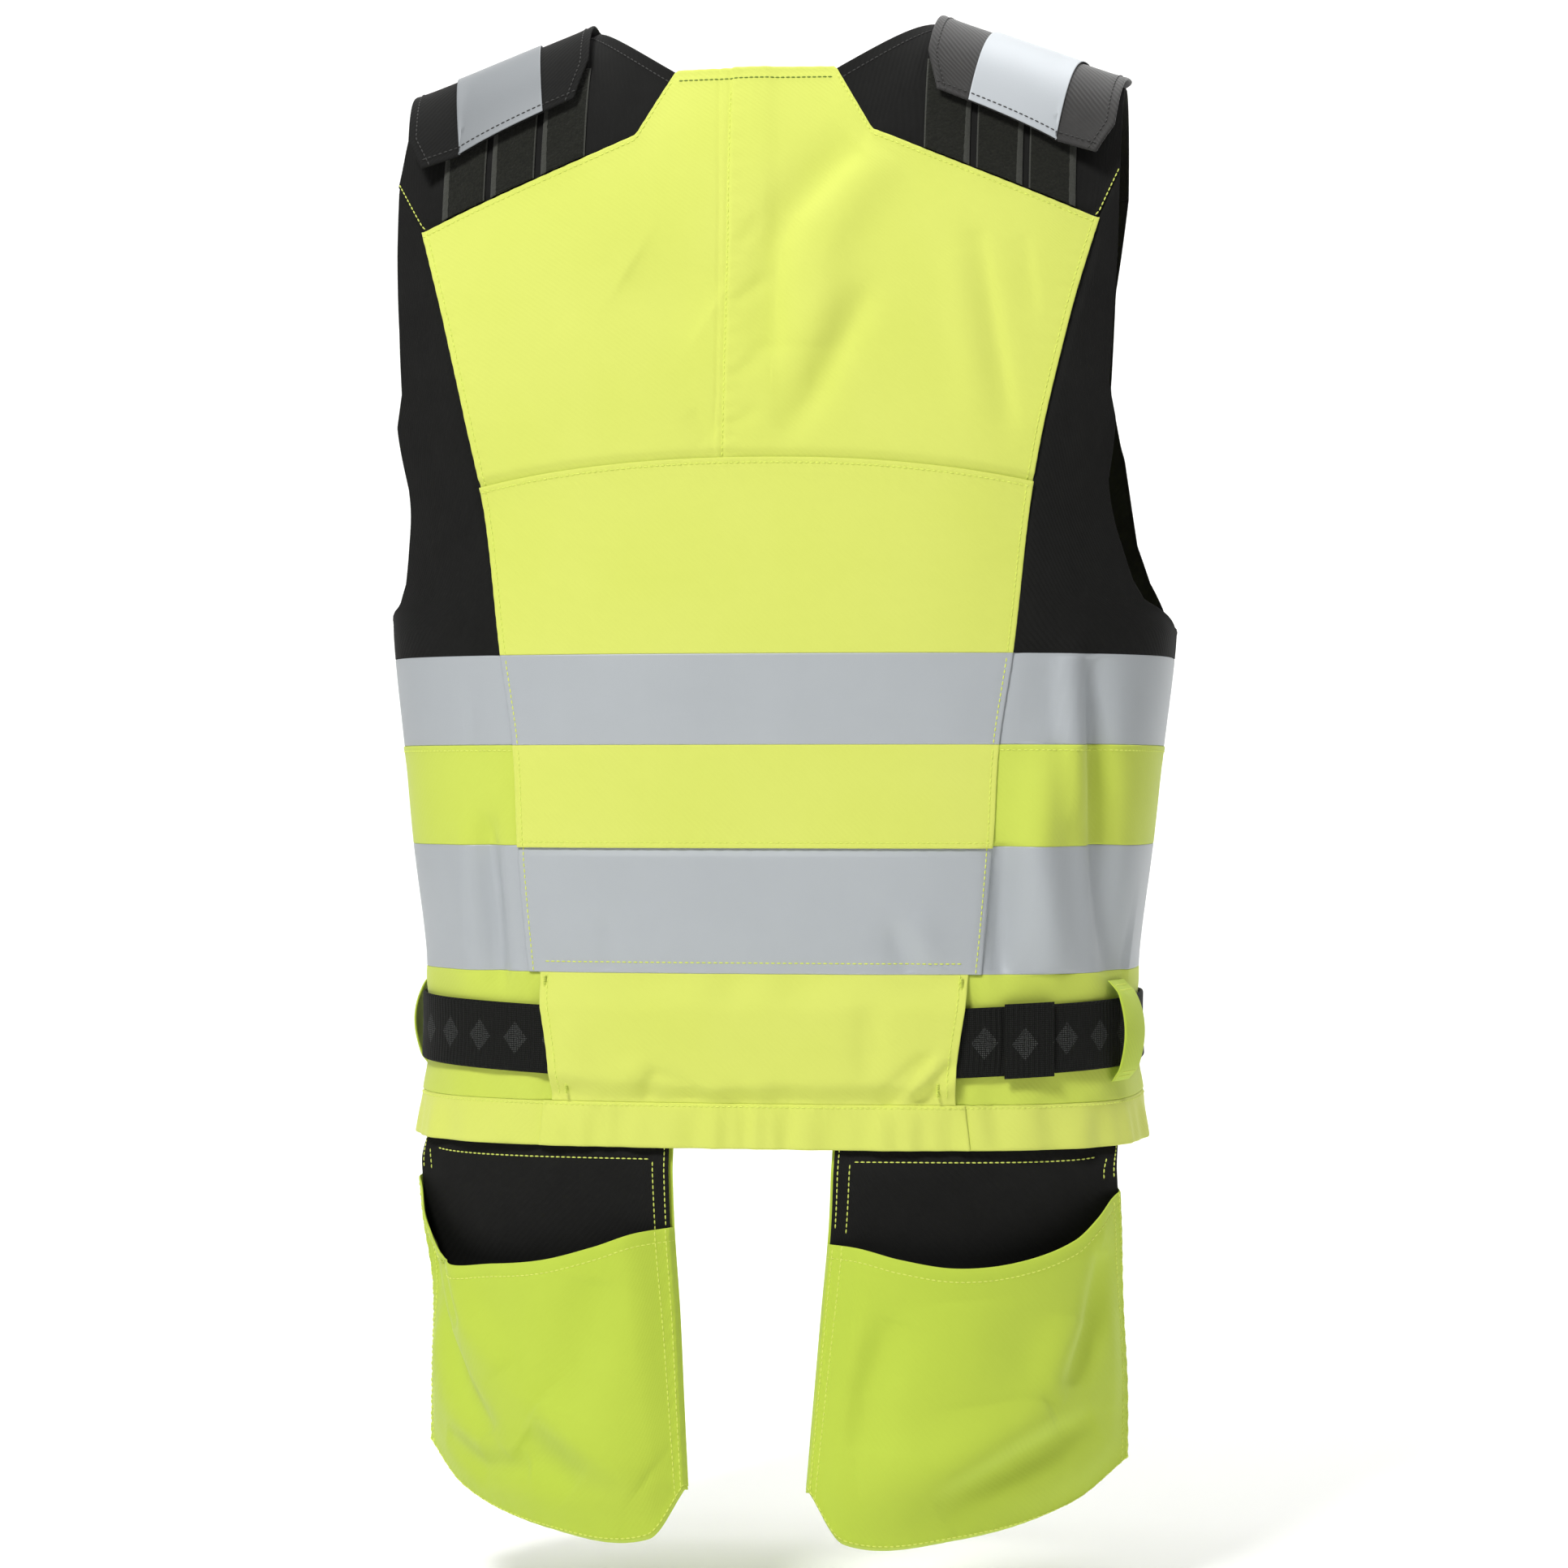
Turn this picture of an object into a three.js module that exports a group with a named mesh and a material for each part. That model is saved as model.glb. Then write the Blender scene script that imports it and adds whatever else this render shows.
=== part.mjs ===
// Utility work vest in its worn form: sewn cloth panels, reflective tapes, a webbing belt and two hip
// pockets that hang from the back hem. Millimetres, +Z up; the back faces -Y and the chest faces +Y.
import * as THREE from 'three';

// Main sizes
const CHEST_HALF = 226;
const BACK_DEPTH = 128;
const FRONT_DEPTH = 115;
const CENTRE_Y = 5;
const VEST_LENGTH = 600;
const CHEST_LEVEL = -200;
const RIDGE_Y = -40;
const RIDGE_HEIGHT = 62;
const RIDGE_SLOPE = 0.367;
const ARCH_POWER = 2.8;
const FRONT_POWER = 2.6;
const RISE_RADIUS = 80;

// Cloth and seams
const CLOTH = 1.8;
const HEM_WALL = 2.4;
const SEAM_GAP = 0.5;
const LAYER_GAP = 0.6;
const FOLD_DEPTH = 6;
const GATHER_DEPTH = 2.4;
const GATHER_PITCH = 46;

// Levels of the sewn bands
const TAPE_UPPER_TOP = -328.4;
const TAPE_UPPER_WIDTH = 50;
const TAPE_LOWER_TOP = -434;
const TAPE_LOWER_WIDTH = 70;
const HEM_TOP = -575;
const TAPE_UPPER_LOW = TAPE_UPPER_TOP - TAPE_UPPER_WIDTH;
const TAPE_LOWER_LOW = TAPE_LOWER_TOP - TAPE_LOWER_WIDTH;
const YOKE_CORNER_HALF = 0.832 * CHEST_HALF;
const YOKE_KINK_HALF = 0.292 * CHEST_HALF;
const NECK_HALF = 0.197 * CHEST_HALF;
const NECK_LEVEL = -6;
const YOKE_KINK_LEVEL = -42;
const YOKE_CORNER_LEVEL = -92;
const YOKE_END_HALF = 0.894 * CHEST_HALF;
const YOKE_END_LEVEL = -63;
const RIDGE_INNER = 0.438 * CHEST_HALF;
const NECK_EASE = 2.4;
const RIDGE_OUTER = 0.916 * CHEST_HALF;
const FRONT_YOKE_INNER = 0.372 * CHEST_HALF;
const FRONT_YOKE_OUTER = 0.867 * CHEST_HALF;
const FRONT_YOKE_LEVEL = -58;
const ARCH_SEAM_CENTRE = -222;
const ARCH_SEAM_DROP = 14;
const ARMPIT_LEVEL = -315;
const ZIP_WIDTH = 12;
const ZIP_WALL = 3;
const ZIP_TOP = -100;

// Belt, loops and pockets
const BELT_WIDTH = 38;
const BELT_LEVEL = -537;
const BELT_SAG = 8;
const BELT_WALL = 2.2;
const BELT_LIFT = 1.3;
const FLAP_LIFT = BELT_LIFT + BELT_WALL + LAYER_GAP + CLOTH;
const FREE_END_INNER = 0.606 * CHEST_HALF;
const FREE_END_OUTER = 0.717 * CHEST_HALF;
const CLASP_WIDTH = 52;
const CLASP_WALL = 7;
const LOOP_WIDTH = 25;
const LOOP_HEIGHT = 56;
const LOOP_WALL = 1.6;
const STRIP_WIDTH = 25;
const STRIP_WALL = 1.1;
const STRIP_GAP = 1;
const TAPE_WALL = 0.8;
const POCKET_TOP = -600.5;
const POCKET_LENGTH = 215;
const POCKET_WALL = 1.8;
const POUCH_STAND = 19;
const POUCH_WALL = 1.4;
const BACKING_WALL = 0.9;
const BACKING_GAP = 1.5;

// Level sections. down is a share of VEST_LENGTH, half of CHEST_HALF, back of BACK_DEPTH and
// front of FRONT_DEPTH; power is the squareness of the back.
const SECTIONS = [
  { down: 0.333, half: 0.99, back: 0.99, front: 1.0, power: 4.8 },
  { down: 0.4, half: 0.993, back: 0.99, front: 1.0, power: 3.4 },
  { down: 0.45, half: 0.997, back: 0.995, front: 1.0, power: 3.0 },
  { down: 0.525, half: 1.0, back: 1.0, front: 1.0, power: 2.85 },
  { down: 0.64, half: 0.965, back: 0.995, front: 0.99, power: 3.0 },
  { down: 0.72, half: 0.942, back: 1.0, front: 0.98, power: 3.1 },
  { down: 0.84, half: 0.903, back: 1.0, front: 0.96, power: 3.1 },
  { down: 0.93, half: 0.903, back: 0.995, front: 0.96, power: 3.1 },
  { down: 1.0, half: 0.932, back: 1.0, front: 0.98, power: 3.1 },
];

// Seam beside the centre back panel. down is a share of VEST_LENGTH, half of CHEST_HALF.
const BACK_SEAM = [
  { down: 0.153, half: 0.832 },
  { down: 0.243, half: 0.765 },
  { down: 0.393, half: 0.677 },
  { down: 0.543, half: 0.628 },
  { down: 0.633, half: 0.593 },
  { down: 0.722, half: 0.58 },
  { down: 0.842, half: 0.551 },
  { down: 0.933, half: 0.518 },
  { down: 1.0, half: 0.532 },
];

// Armhole edges. half is a share of CHEST_HALF and down of VEST_LENGTH.
const ARMHOLE_BACK = [
  { half: 0.938, down: 0.497 },
  { half: 0.912, down: 0.478 },
  { half: 0.881, down: 0.433 },
  { half: 0.867, down: 0.39 },
  { half: 0.872, down: 0.302 },
  { half: 0.881, down: 0.243 },
  { half: 0.892, down: 0.167 },
];
const ARMHOLE_FRONT = [
  { half: 0.969, down: 0.51 },
  { half: 0.92, down: 0.47 },
  { half: 0.885, down: 0.433 },
  { half: 0.85, down: 0.347 },
  { half: 0.812, down: 0.278 },
  { half: 0.827, down: 0.183 },
];

// Front neckline from the zip to the yoke. half is a share of FRONT_YOKE_INNER, down of ZIP_TOP.
const NECKLINE = [
  { half: 0.25, down: 0.99 },
  { half: 0.45, down: 0.96 },
  { half: 0.8, down: 0.8 },
];

// Soft folds on the back, each a ridge from one point to another: x and wide are shares of CHEST_HALF,
// z of VEST_LENGTH, high of FOLD_DEPTH.
const FOLDS = [
  { x: 0.26, z: -0.1, toX: 0.06, toZ: -0.21, wide: 0.045, high: 0.7 },
  { x: -0.075, z: -0.02, toX: -0.075, toZ: -0.36, wide: 0.025, high: -0.45 },
  { x: 0.045, z: -0.04, toX: 0.05, toZ: -0.34, wide: 0.04, high: 0.5 },
  { x: -0.3, z: -0.12, toX: -0.14, toZ: -0.24, wide: 0.05, high: 0.35 },
  { x: 0.45, z: -0.24, toX: 0.42, toZ: -0.3, wide: 0.22, high: 0.8 },
  { x: -0.45, z: -0.24, toX: -0.42, toZ: -0.3, wide: 0.22, high: 0.8 },
  { x: 0.55, z: -0.45, toX: 0.2, toZ: -0.5, wide: 0.07, high: 0.3 },
  { x: -0.5, z: -0.47, toX: -0.25, toZ: -0.5, wide: 0.06, high: 0.3 },
];

// Pocket side edges in plan. drop is a share of POCKET_LENGTH, the widths of CHEST_HALF, the depths
// of BACK_DEPTH.
const POCKET_EDGES = [
  { drop: 0.0, inner: 0.204, outer: 0.872, innerY: -0.95, outerY: -0.6 },
  { drop: 0.2, inner: 0.197, outer: 0.876, innerY: -0.955, outerY: -0.48 },
  { drop: 0.42, inner: 0.18, outer: 0.872, innerY: -0.98, outerY: -0.3 },
  { drop: 0.65, inner: 0.165, outer: 0.88, innerY: -1.03, outerY: -0.26 },
  { drop: 1.0, inner: 0.142, outer: 0.88, innerY: -1.1, outerY: -0.3 },
];

// Lower edge and mouth of the pockets: across runs from the inner edge, drops are shares of POCKET_LENGTH.
const POCKET_FOOT = [
  { across: 0.0, drop: 0.85 },
  { across: 0.13, drop: 0.975 },
  { across: 0.5, drop: 0.972 },
  { across: 0.83, drop: 0.918 },
  { across: 1.0, drop: 0.83 },
];
const MOUTH = [
  { across: 0.0, left: 0.2, right: 0.235 },
  { across: 0.12, left: 0.214, right: 0.242 },
  { across: 0.25, left: 0.247, right: 0.265 },
  { across: 0.42, left: 0.28, right: 0.282 },
  { across: 0.6, left: 0.292, right: 0.265 },
  { across: 0.8, left: 0.292, right: 0.21 },
  { across: 0.9, left: 0.222, right: 0.152 },
  { across: 0.95, left: 0.155, right: 0.128 },
  { across: 1.0, left: 0.1, right: 0.112 },
];

// Sags of the pouch cloth. at is the share across, wide its half-width, lean its shift towards the foot,
// high a share of FOLD_DEPTH.
const POUCH_SAGS = [
  { at: 0.3, wide: 0.1, lean: 0.12, high: -0.55 },
  { at: 0.55, wide: 0.09, lean: -0.08, high: 0.5 },
  { at: 0.78, wide: 0.08, lean: 0.06, high: -0.5 },
];

// Belt loops: turn from centre back in degrees, stand off the webbing.
const BELT_LOOPS = [
  { name: 'belt_loop_left', side: -1, turn: 88, stand: 8 },
  { name: 'belt_loop_right', side: 1, turn: 72.5, stand: 7 },
];

// Loop strips on each yoke: distance of the middle from centre back as a share of CHEST_HALF.
const LOOP_STRIPS = [
  { name: 'inner', at: 0.473 },
  { name: 'middle', at: 0.6 },
  { name: 'outer', at: 0.726 },
];

// Shoulder flap: inner and outer edges at the ridge and at the two lower ends, as shares of CHEST_HALF;
// swings in degrees over the shoulder, 90 at the ridge.
const FLAP = {
  innerTop: 0.437,
  outerTop: 0.895,
  innerLow: 0.41,
  outerLow: 0.865,
  backInner: 71,
  backOuter: 66,
  front: 110,
};
const FLAP_FLAT_HALF = 0.73 * CHEST_HALF;
const FLAP_FLARE = 3;
const FLAP_TAPE = { innerTop: 0.577, outerTop: 0.788, innerLow: 0.52, outerLow: 0.733 };
const FLAP_CORNER = 0.18;
const STRIP_TUCK = 4;

// The vest sits a little to the left: out moves the back armhole edge away from the middle, in mm.
const SIDES = [
  { name: 'left', side: -1, out: 5 },
  { name: 'right', side: 1, out: -2 },
];

const HI_VIS = { color: 0xdfe872, roughness: 0.85, metalness: 0 };
const BLACK_CLOTH = { color: 0x262622, roughness: 0.85, metalness: 0 };
const REFLECTIVE = { color: 0xb9bdc0, roughness: 0.45, metalness: 0.15 };
const LOOP_TAPE = { color: 0x252620, roughness: 0.95, metalness: 0 };
const WEBBING = { color: 0x14150f, roughness: 0.8, metalness: 0 };
const LINING = { color: 0xc0d756, roughness: 0.85, metalness: 0 };
const PLASTIC = { color: 0x1a1a19, roughness: 0.5, metalness: 0 };

const vest = new THREE.Group();
vest.name = 'utility_work_vest';

const clamp = THREE.MathUtils.clamp;
const mix = THREE.MathUtils.lerp;

/** Smooth curve through a table column, read at a value of its key column. */
function track(table, column, at, key = 'down') {
  const last = table.length - 1;
  let row = 0;
  while (row < last - 1 && at > table[row + 1][key]) row += 1;
  const slope = (i) => {
    const before = table[Math.max(i - 1, 0)];
    const after = table[Math.min(i + 1, last)];
    return (after[column] - before[column]) / (after[key] - before[key]);
  };
  const from = table[row];
  const to = table[row + 1];
  const span = to[key] - from[key];
  const t = clamp((at - from[key]) / span, 0, 1);
  const square = t * t;
  const cube = square * t;
  const held = from[column] * (2 * cube - 3 * square + 1) + to[column] * (3 * square - 2 * cube);
  return held + span * (slope(row) * (cube - 2 * square + t) + slope(row + 1) * (cube - square));
}

/** Half-width, depths and squareness of the shell at a level. */
function sectionAt(z) {
  const down = Math.max(-z, -CHEST_LEVEL) / VEST_LENGTH;
  return {
    half: track(SECTIONS, 'half', down) * CHEST_HALF,
    back: track(SECTIONS, 'back', down) * BACK_DEPTH,
    front: track(SECTIONS, 'front', down) * FRONT_DEPTH,
    power: track(SECTIONS, 'power', down),
  };
}

/** Depth of the level section at a distance from the middle, measured from CENTRE_Y. */
function depthAt(x, z, behind) {
  const section = sectionAt(z);
  const power = behind ? section.power : FRONT_POWER;
  const depth = behind ? section.back : section.front;
  const across = Math.min(Math.abs(x) / section.half, 1);
  return depth * (1 - across ** power) ** (1 / power);
}

/** Turn about the vertical middle line, from centre back, of a point given by its distance x. */
function turnAt(x, z, behind = true) {
  const depth = depthAt(x, z, behind);
  return Math.atan2(Math.abs(x), behind ? depth : -depth);
}

const ridgeAt = (x) => RIDGE_HEIGHT - RIDGE_SLOPE * Math.abs(x);

/** Point of the shoulder arch over x: swing 0 is at chest level, a quarter turn is the ridge. */
function archPoint(x, y, swing) {
  const reach = y - RIDGE_Y;
  const climb = ridgeAt(x) - CHEST_LEVEL;
  const level = (Math.cos(swing) / Math.abs(reach)) ** ARCH_POWER;
  const radius = (level + (Math.sin(swing) / climb) ** ARCH_POWER) ** (-1 / ARCH_POWER);
  const out = Math.sign(reach) * radius * Math.cos(swing);
  return new THREE.Vector3(x, RIDGE_Y + out, CHEST_LEVEL + radius * Math.sin(swing));
}

/** Point of the shell by turn from centre back and rise above chest level. */
function shellPoint(turn, rise) {
  const z = CHEST_LEVEL + Math.min(rise, 0);
  const section = sectionAt(z);
  const behind = Math.cos(turn) > 0;
  const power = behind ? section.power : FRONT_POWER;
  const depth = behind ? section.back : section.front;
  const wide = (Math.abs(Math.sin(turn)) / section.half) ** power;
  const radius = (wide + (Math.abs(Math.cos(turn)) / depth) ** power) ** (-1 / power);
  const x = radius * Math.sin(turn);
  const y = CENTRE_Y - radius * Math.cos(turn);
  return rise > 0 ? archPoint(x, y, rise / RISE_RADIUS) : new THREE.Vector3(x, y, z);
}

/** Point over the shoulder by distance x and swing: the back up to a quarter turn, then the front. */
function crestPoint(x, swing, flat = CHEST_HALF) {
  const behind = swing <= Math.PI / 2;
  const depth = depthAt(Math.min(Math.abs(x), flat), CHEST_LEVEL, behind);
  const y = behind ? CENTRE_Y - depth : CENTRE_Y + depth;
  return archPoint(x, y, behind ? swing : Math.PI - swing);
}

/** Swing over the shoulder of a point given by its distance x and its level. */
function swingAt(x, z, behind = true) {
  const depth = depthAt(x, CHEST_LEVEL, behind);
  const reach = Math.abs((behind ? CENTRE_Y - depth : CENTRE_Y + depth) - RIDGE_Y);
  const share = (z - CHEST_LEVEL) / (ridgeAt(x) - CHEST_LEVEL);
  const level = reach * (1 - share ** ARCH_POWER) ** (1 / ARCH_POWER);
  const swing = Math.atan2(z - CHEST_LEVEL, level);
  return behind ? swing : Math.PI - swing;
}

/** Shell coordinates of a point given by its distance x and its level. */
function at(x, z, behind = true) {
  const turn = turnAt(x, z, behind);
  if (z <= CHEST_LEVEL) return [turn, z - CHEST_LEVEL];
  const swing = behind ? swingAt(x, z) : Math.PI - swingAt(x, z, false);
  return [turn, swing * RISE_RADIUS];
}

const bell = (t) => Math.exp(-t * t);

/** Height of the soft folds and gathers over the plain shell. */
function relief(point) {
  if (point.z < CHEST_LEVEL * 1.4) {
    const along = Math.atan2(point.x, CENTRE_Y - point.y) * CHEST_HALF;
    const above = bell((point.z - HEM_TOP) / 10) + bell((point.z - TAPE_LOWER_LOW) / 8);
    const wave = Math.sin((along * 2 * Math.PI) / GATHER_PITCH + 0.9 * Math.sin(along / 61));
    const low = THREE.MathUtils.smoothstep(-point.z, -HEM_TOP - 4, VEST_LENGTH);
    return GATHER_DEPTH * wave * Math.min(0.75 * above + low, 1) + foldHeight(point);
  }
  return foldHeight(point);
}

/** Height of the back folds: each falls off like a bell away from its line and past its ends. */
function foldHeight(point) {
  if (point.y > RIDGE_Y) return 0;
  let height = 0;
  for (const fold of FOLDS) {
    const startX = fold.x * CHEST_HALF;
    const startZ = fold.z * VEST_LENGTH;
    const runX = fold.toX * CHEST_HALF - startX;
    const runZ = fold.toZ * VEST_LENGTH - startZ;
    const run = Math.hypot(runX, runZ);
    const along = ((point.x - startX) * runX + (point.z - startZ) * runZ) / run;
    const off = ((point.x - startX) * runZ - (point.z - startZ) * runX) / run;
    const past = Math.max(-along, along - run, 0);
    const wide = fold.wide * CHEST_HALF;
    height += fold.high * FOLD_DEPTH * bell(off / wide) * bell(past / (1.6 * wide));
  }
  return height;
}

/** A surface with folds: returns a function giving its point at a height above the cloth's outer face. */
function draped(surface, folded = true) {
  const step = 1e-3;
  return (a, b, lift, stepB = step) => {
    const point = surface(a, b);
    const acrossA = surface(a + step, b).sub(surface(a - step, b));
    const acrossB = surface(a, b + stepB).sub(surface(a, b - stepB));
    const normal = acrossA.cross(acrossB).normalize();
    return point.addScaledVector(normal, lift + (folded ? relief(point) : 0));
  };
}

const onShell = draped(shellPoint);
const onPlainShell = draped(shellPoint, false);
const overCrest = draped((x, swing) => crestPoint(x, swing));
const overFlap = draped((x, swing) => crestPoint(x, swing, FLAP_FLAT_HALF), false);

/** Shares from 0 to 1, evenly spaced, with the nearest free one moved to each mark, marks rising. */
function stations(count, marks = []) {
  const shares = Array.from({ length: count + 1 }, (unused, i) => i / count);
  let last = 0;
  for (const mark of marks) {
    last = clamp(Math.round(mark * count), last + 1, count - 1);
    shares[last] = mark;
  }
  return shares;
}

/** Closed cloth solid over a grid: place gives the point at u, v on the outer (0) or inner (1) face. */
function clothSolid(us, vs, place) {
  const wide = us.length;
  const tall = vs.length;
  const points = [0, 1].flatMap((face) => vs.flatMap((v) => us.map((u) => place(u, v, face))));
  const index = (i, j, face) => (face * tall + j) * wide + i;
  const faces = [];
  const quad = (a, b, c, d) => faces.push(a, b, c, a, c, d);
  for (let j = 0; j < tall - 1; j += 1) {
    for (let i = 0; i < wide - 1; i += 1) {
      quad(index(i, j, 0), index(i + 1, j, 0), index(i + 1, j + 1, 0), index(i, j + 1, 0));
      quad(index(i, j, 1), index(i, j + 1, 1), index(i + 1, j + 1, 1), index(i + 1, j, 1));
    }
  }
  for (let i = 0; i < wide - 1; i += 1) {
    quad(index(i, 0, 1), index(i + 1, 0, 1), index(i + 1, 0, 0), index(i, 0, 0));
    quad(index(i, tall - 1, 0), index(i + 1, tall - 1, 0), index(i + 1, tall - 1, 1), index(i, tall - 1, 1));
  }
  for (let j = 0; j < tall - 1; j += 1) {
    quad(index(0, j, 0), index(0, j + 1, 0), index(0, j + 1, 1), index(0, j, 1));
    quad(index(wide - 1, j, 1), index(wide - 1, j + 1, 1), index(wide - 1, j + 1, 0), index(wide - 1, j, 0));
  }
  let volume = 0;
  for (let k = 0; k < faces.length; k += 3) {
    volume += points[faces[k]].dot(points[faces[k + 1]].clone().cross(points[faces[k + 2]]));
  }
  if (volume < 0) faces.reverse();
  const geometry = new THREE.BufferGeometry().setFromPoints(points);
  geometry.setIndex(faces);
  geometry.computeVertexNormals();
  return geometry;
}

function addPiece(name, geometry, finish) {
  const mesh = new THREE.Mesh(geometry, new THREE.MeshStandardMaterial(finish));
  mesh.name = name;
  vest.add(mesh);
}

/** Edge through rising points, by share of its climb; its own marks are the shares of the inner points. */
function edge(points) {
  const foot = points[0][1];
  const climb = points.at(-1)[1] - foot;
  const read = (share) => {
    const want = foot + share * climb;
    let i = 1;
    while (i < points.length - 1 && want > points[i][1]) i += 1;
    const t = (want - points[i - 1][1]) / (points[i][1] - points[i - 1][1]);
    return [mix(points[i - 1][0], points[i][0], t), want];
  };
  read.marks = points.slice(1, -1).map((point) => (point[1] - foot) / climb);
  return read;
}

/** Patch between four edges, each a function of its share; low and high run across, start and end up. */
function between(low, high, start, end) {
  const corners = [low(0), low(1), high(0), high(1)];
  return (u, v) => [0, 1].map((k) => {
    const ruled = mix(low(u)[k], high(u)[k], v) + mix(start(v)[k], end(v)[k], u);
    return ruled - mix(mix(corners[0][k], corners[1][k], u), mix(corners[2][k], corners[3][k], u), v);
  });
}

/** Draws a patch in by half the seam gap at each edge that is a seam. */
function seamed(patch, surface) {
  const samples = 6;
  const length = (from, to) => {
    let sum = 0;
    let last = surface(...patch(...from));
    for (let k = 1; k <= samples; k += 1) {
      const share = k / samples;
      const next = surface(...patch(mix(from[0], to[0], share), mix(from[1], to[1], share)));
      sum += next.distanceTo(last);
      last = next;
    }
    return sum;
  };
  return (u, v) => {
    const inU = SEAM_GAP / 2 / Math.max(length([0, v], [1, v]), 1);
    const inV = SEAM_GAP / 2 / Math.max(length([u, 0], [u, 1]), 1);
    return patch(mix(inU, 1 - inU, u), mix(inV, 1 - inV, v));
  };
}

/** Cloth panel on the shell, or over the shoulders, mirrored for the left side. */
function panel(name, finish, patch, us, vs, options = {}) {
  const { side = 1, wall = CLOTH, lift = () => 0, surface = shellPoint, on = onShell } = options;
  const inner = seamed(patch, surface);
  const place = (u, v, face) => {
    const [a, b] = inner(u, v);
    return on(side * a, b, lift(u, v) - face * wall);
  };
  addPiece(name, clothSolid(us, vs, place), finish);
}

const rise = (z) => z - CHEST_LEVEL;
const seamHalf = (z) => track(BACK_SEAM, 'half', -z / VEST_LENGTH) * CHEST_HALF;

/** Level edge between two turns. */
const levelEdge = (from, to, z) => (u) => [mix(from, to, u), rise(z)];

/** Back seam between two levels, read upwards. */
const seamEdge = (low, high, side = 1) => (v) => {
  const z = mix(low, high, v);
  const [turn, up] = at(seamHalf(z), z);
  return [side * turn, up];
};

/** Level of the yellow back panel's upper edge at a distance from the middle. */
function yokeSeamLevel(x) {
  if (x <= NECK_HALF) return NECK_LEVEL;
  if (x <= YOKE_KINK_HALF) {
    return mix(NECK_LEVEL, YOKE_KINK_LEVEL, (x - NECK_HALF) / (YOKE_KINK_HALF - NECK_HALF));
  }
  const share = (x - YOKE_KINK_HALF) / (YOKE_CORNER_HALF - YOKE_KINK_HALF);
  return mix(YOKE_KINK_LEVEL, YOKE_CORNER_LEVEL, share);
}

/** Arched seam across the back. */
function archSeam(share) {
  const z = ARCH_SEAM_CENTRE - ARCH_SEAM_DROP * Math.abs(share) ** 2.2;
  const [turn, up] = at(Math.abs(share) * seamHalf(ARCH_SEAM_CENTRE - ARCH_SEAM_DROP), z);
  return [Math.sign(share) * turn, up];
}

// Centre back panel, cut at the arched seam, with the yoke seam as its upper edge.
const archEnd = ARCH_SEAM_CENTRE - ARCH_SEAM_DROP;
const archEdge = (u) => archSeam(2 * u - 1);
const yokeEdge = (u) => {
  const share = 2 * u - 1;
  const x = Math.abs(share) * YOKE_CORNER_HALF;
  const [turn, up] = at(x, yokeSeamLevel(x));
  return [Math.sign(share) * turn, up];
};
const kink = YOKE_KINK_HALF / YOKE_CORNER_HALF / 2;
const neck = NECK_HALF / YOKE_CORNER_HALF / 2;
const backShares = stations(14, [0.5 - kink, 0.5 - neck, 0.5 + neck, 0.5 + kink]);
const backUpper = between(
  archEdge,
  yokeEdge,
  seamEdge(archEnd, YOKE_CORNER_LEVEL, -1),
  seamEdge(archEnd, YOKE_CORNER_LEVEL),
);
panel('back_upper_panel', HI_VIS, backUpper, backShares, stations(9));

/** Patch of the centre back between two levels. */
function backBand(low, high) {
  const lowTurn = seamEdge(low, high)(0)[0];
  const highTurn = seamEdge(low, high)(1)[0];
  return between(
    levelEdge(-lowTurn, lowTurn, low),
    levelEdge(-highTurn, highTurn, high),
    seamEdge(low, high, -1),
    seamEdge(low, high),
  );
}

const tapeEndTurn = seamEdge(TAPE_UPPER_TOP, archEnd)(0)[0];
const backMiddle = between(
  levelEdge(-tapeEndTurn, tapeEndTurn, TAPE_UPPER_TOP),
  archEdge,
  seamEdge(TAPE_UPPER_TOP, archEnd, -1),
  seamEdge(TAPE_UPPER_TOP, archEnd),
);
panel('back_middle_panel', HI_VIS, backMiddle, stations(12), stations(4));
const proud = () => 0.3;
panel('back_tape_upper', REFLECTIVE, backBand(TAPE_UPPER_LOW, TAPE_UPPER_TOP), stations(12), stations(2), {
  lift: proud,
});
panel('back_strip', HI_VIS, backBand(TAPE_LOWER_TOP, TAPE_UPPER_LOW), stations(12), stations(2));
panel('back_tape_lower', REFLECTIVE, backBand(TAPE_LOWER_LOW, TAPE_LOWER_TOP), stations(12), stations(2), {
  lift: proud,
});

// The lower flap stands over the belt and comes back to the shell at its upper and lower edges.
const FLAP_RAMP = 0.1;
const flapRise = (u, v) => FLAP_LIFT * Math.min(1, v / FLAP_RAMP, (1 - v) / FLAP_RAMP);
panel(
  'back_lower_flap',
  HI_VIS,
  backBand(HEM_TOP, TAPE_LOWER_LOW),
  stations(18),
  stations(6, [FLAP_RAMP, 1 - FLAP_RAMP]),
  { lift: flapRise, on: onPlainShell },
);
panel('hem_back', HI_VIS, backBand(-VEST_LENGTH, HEM_TOP), stations(22), stations(2), { wall: HEM_WALL });

/** Band from the back seam round the side to the zip, on one side. */
function sideBand(low, high) {
  const zipTurn = (z) => turnAt(ZIP_WIDTH / 2, z, false);
  const lowTurn = seamEdge(low, high)(0)[0];
  const highTurn = seamEdge(low, high)(1)[0];
  return between(
    levelEdge(lowTurn, zipTurn(low), low),
    levelEdge(highTurn, zipTurn(high), high),
    seamEdge(low, high),
    (v) => [zipTurn(mix(low, high, v)), rise(mix(low, high, v))],
  );
}

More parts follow.
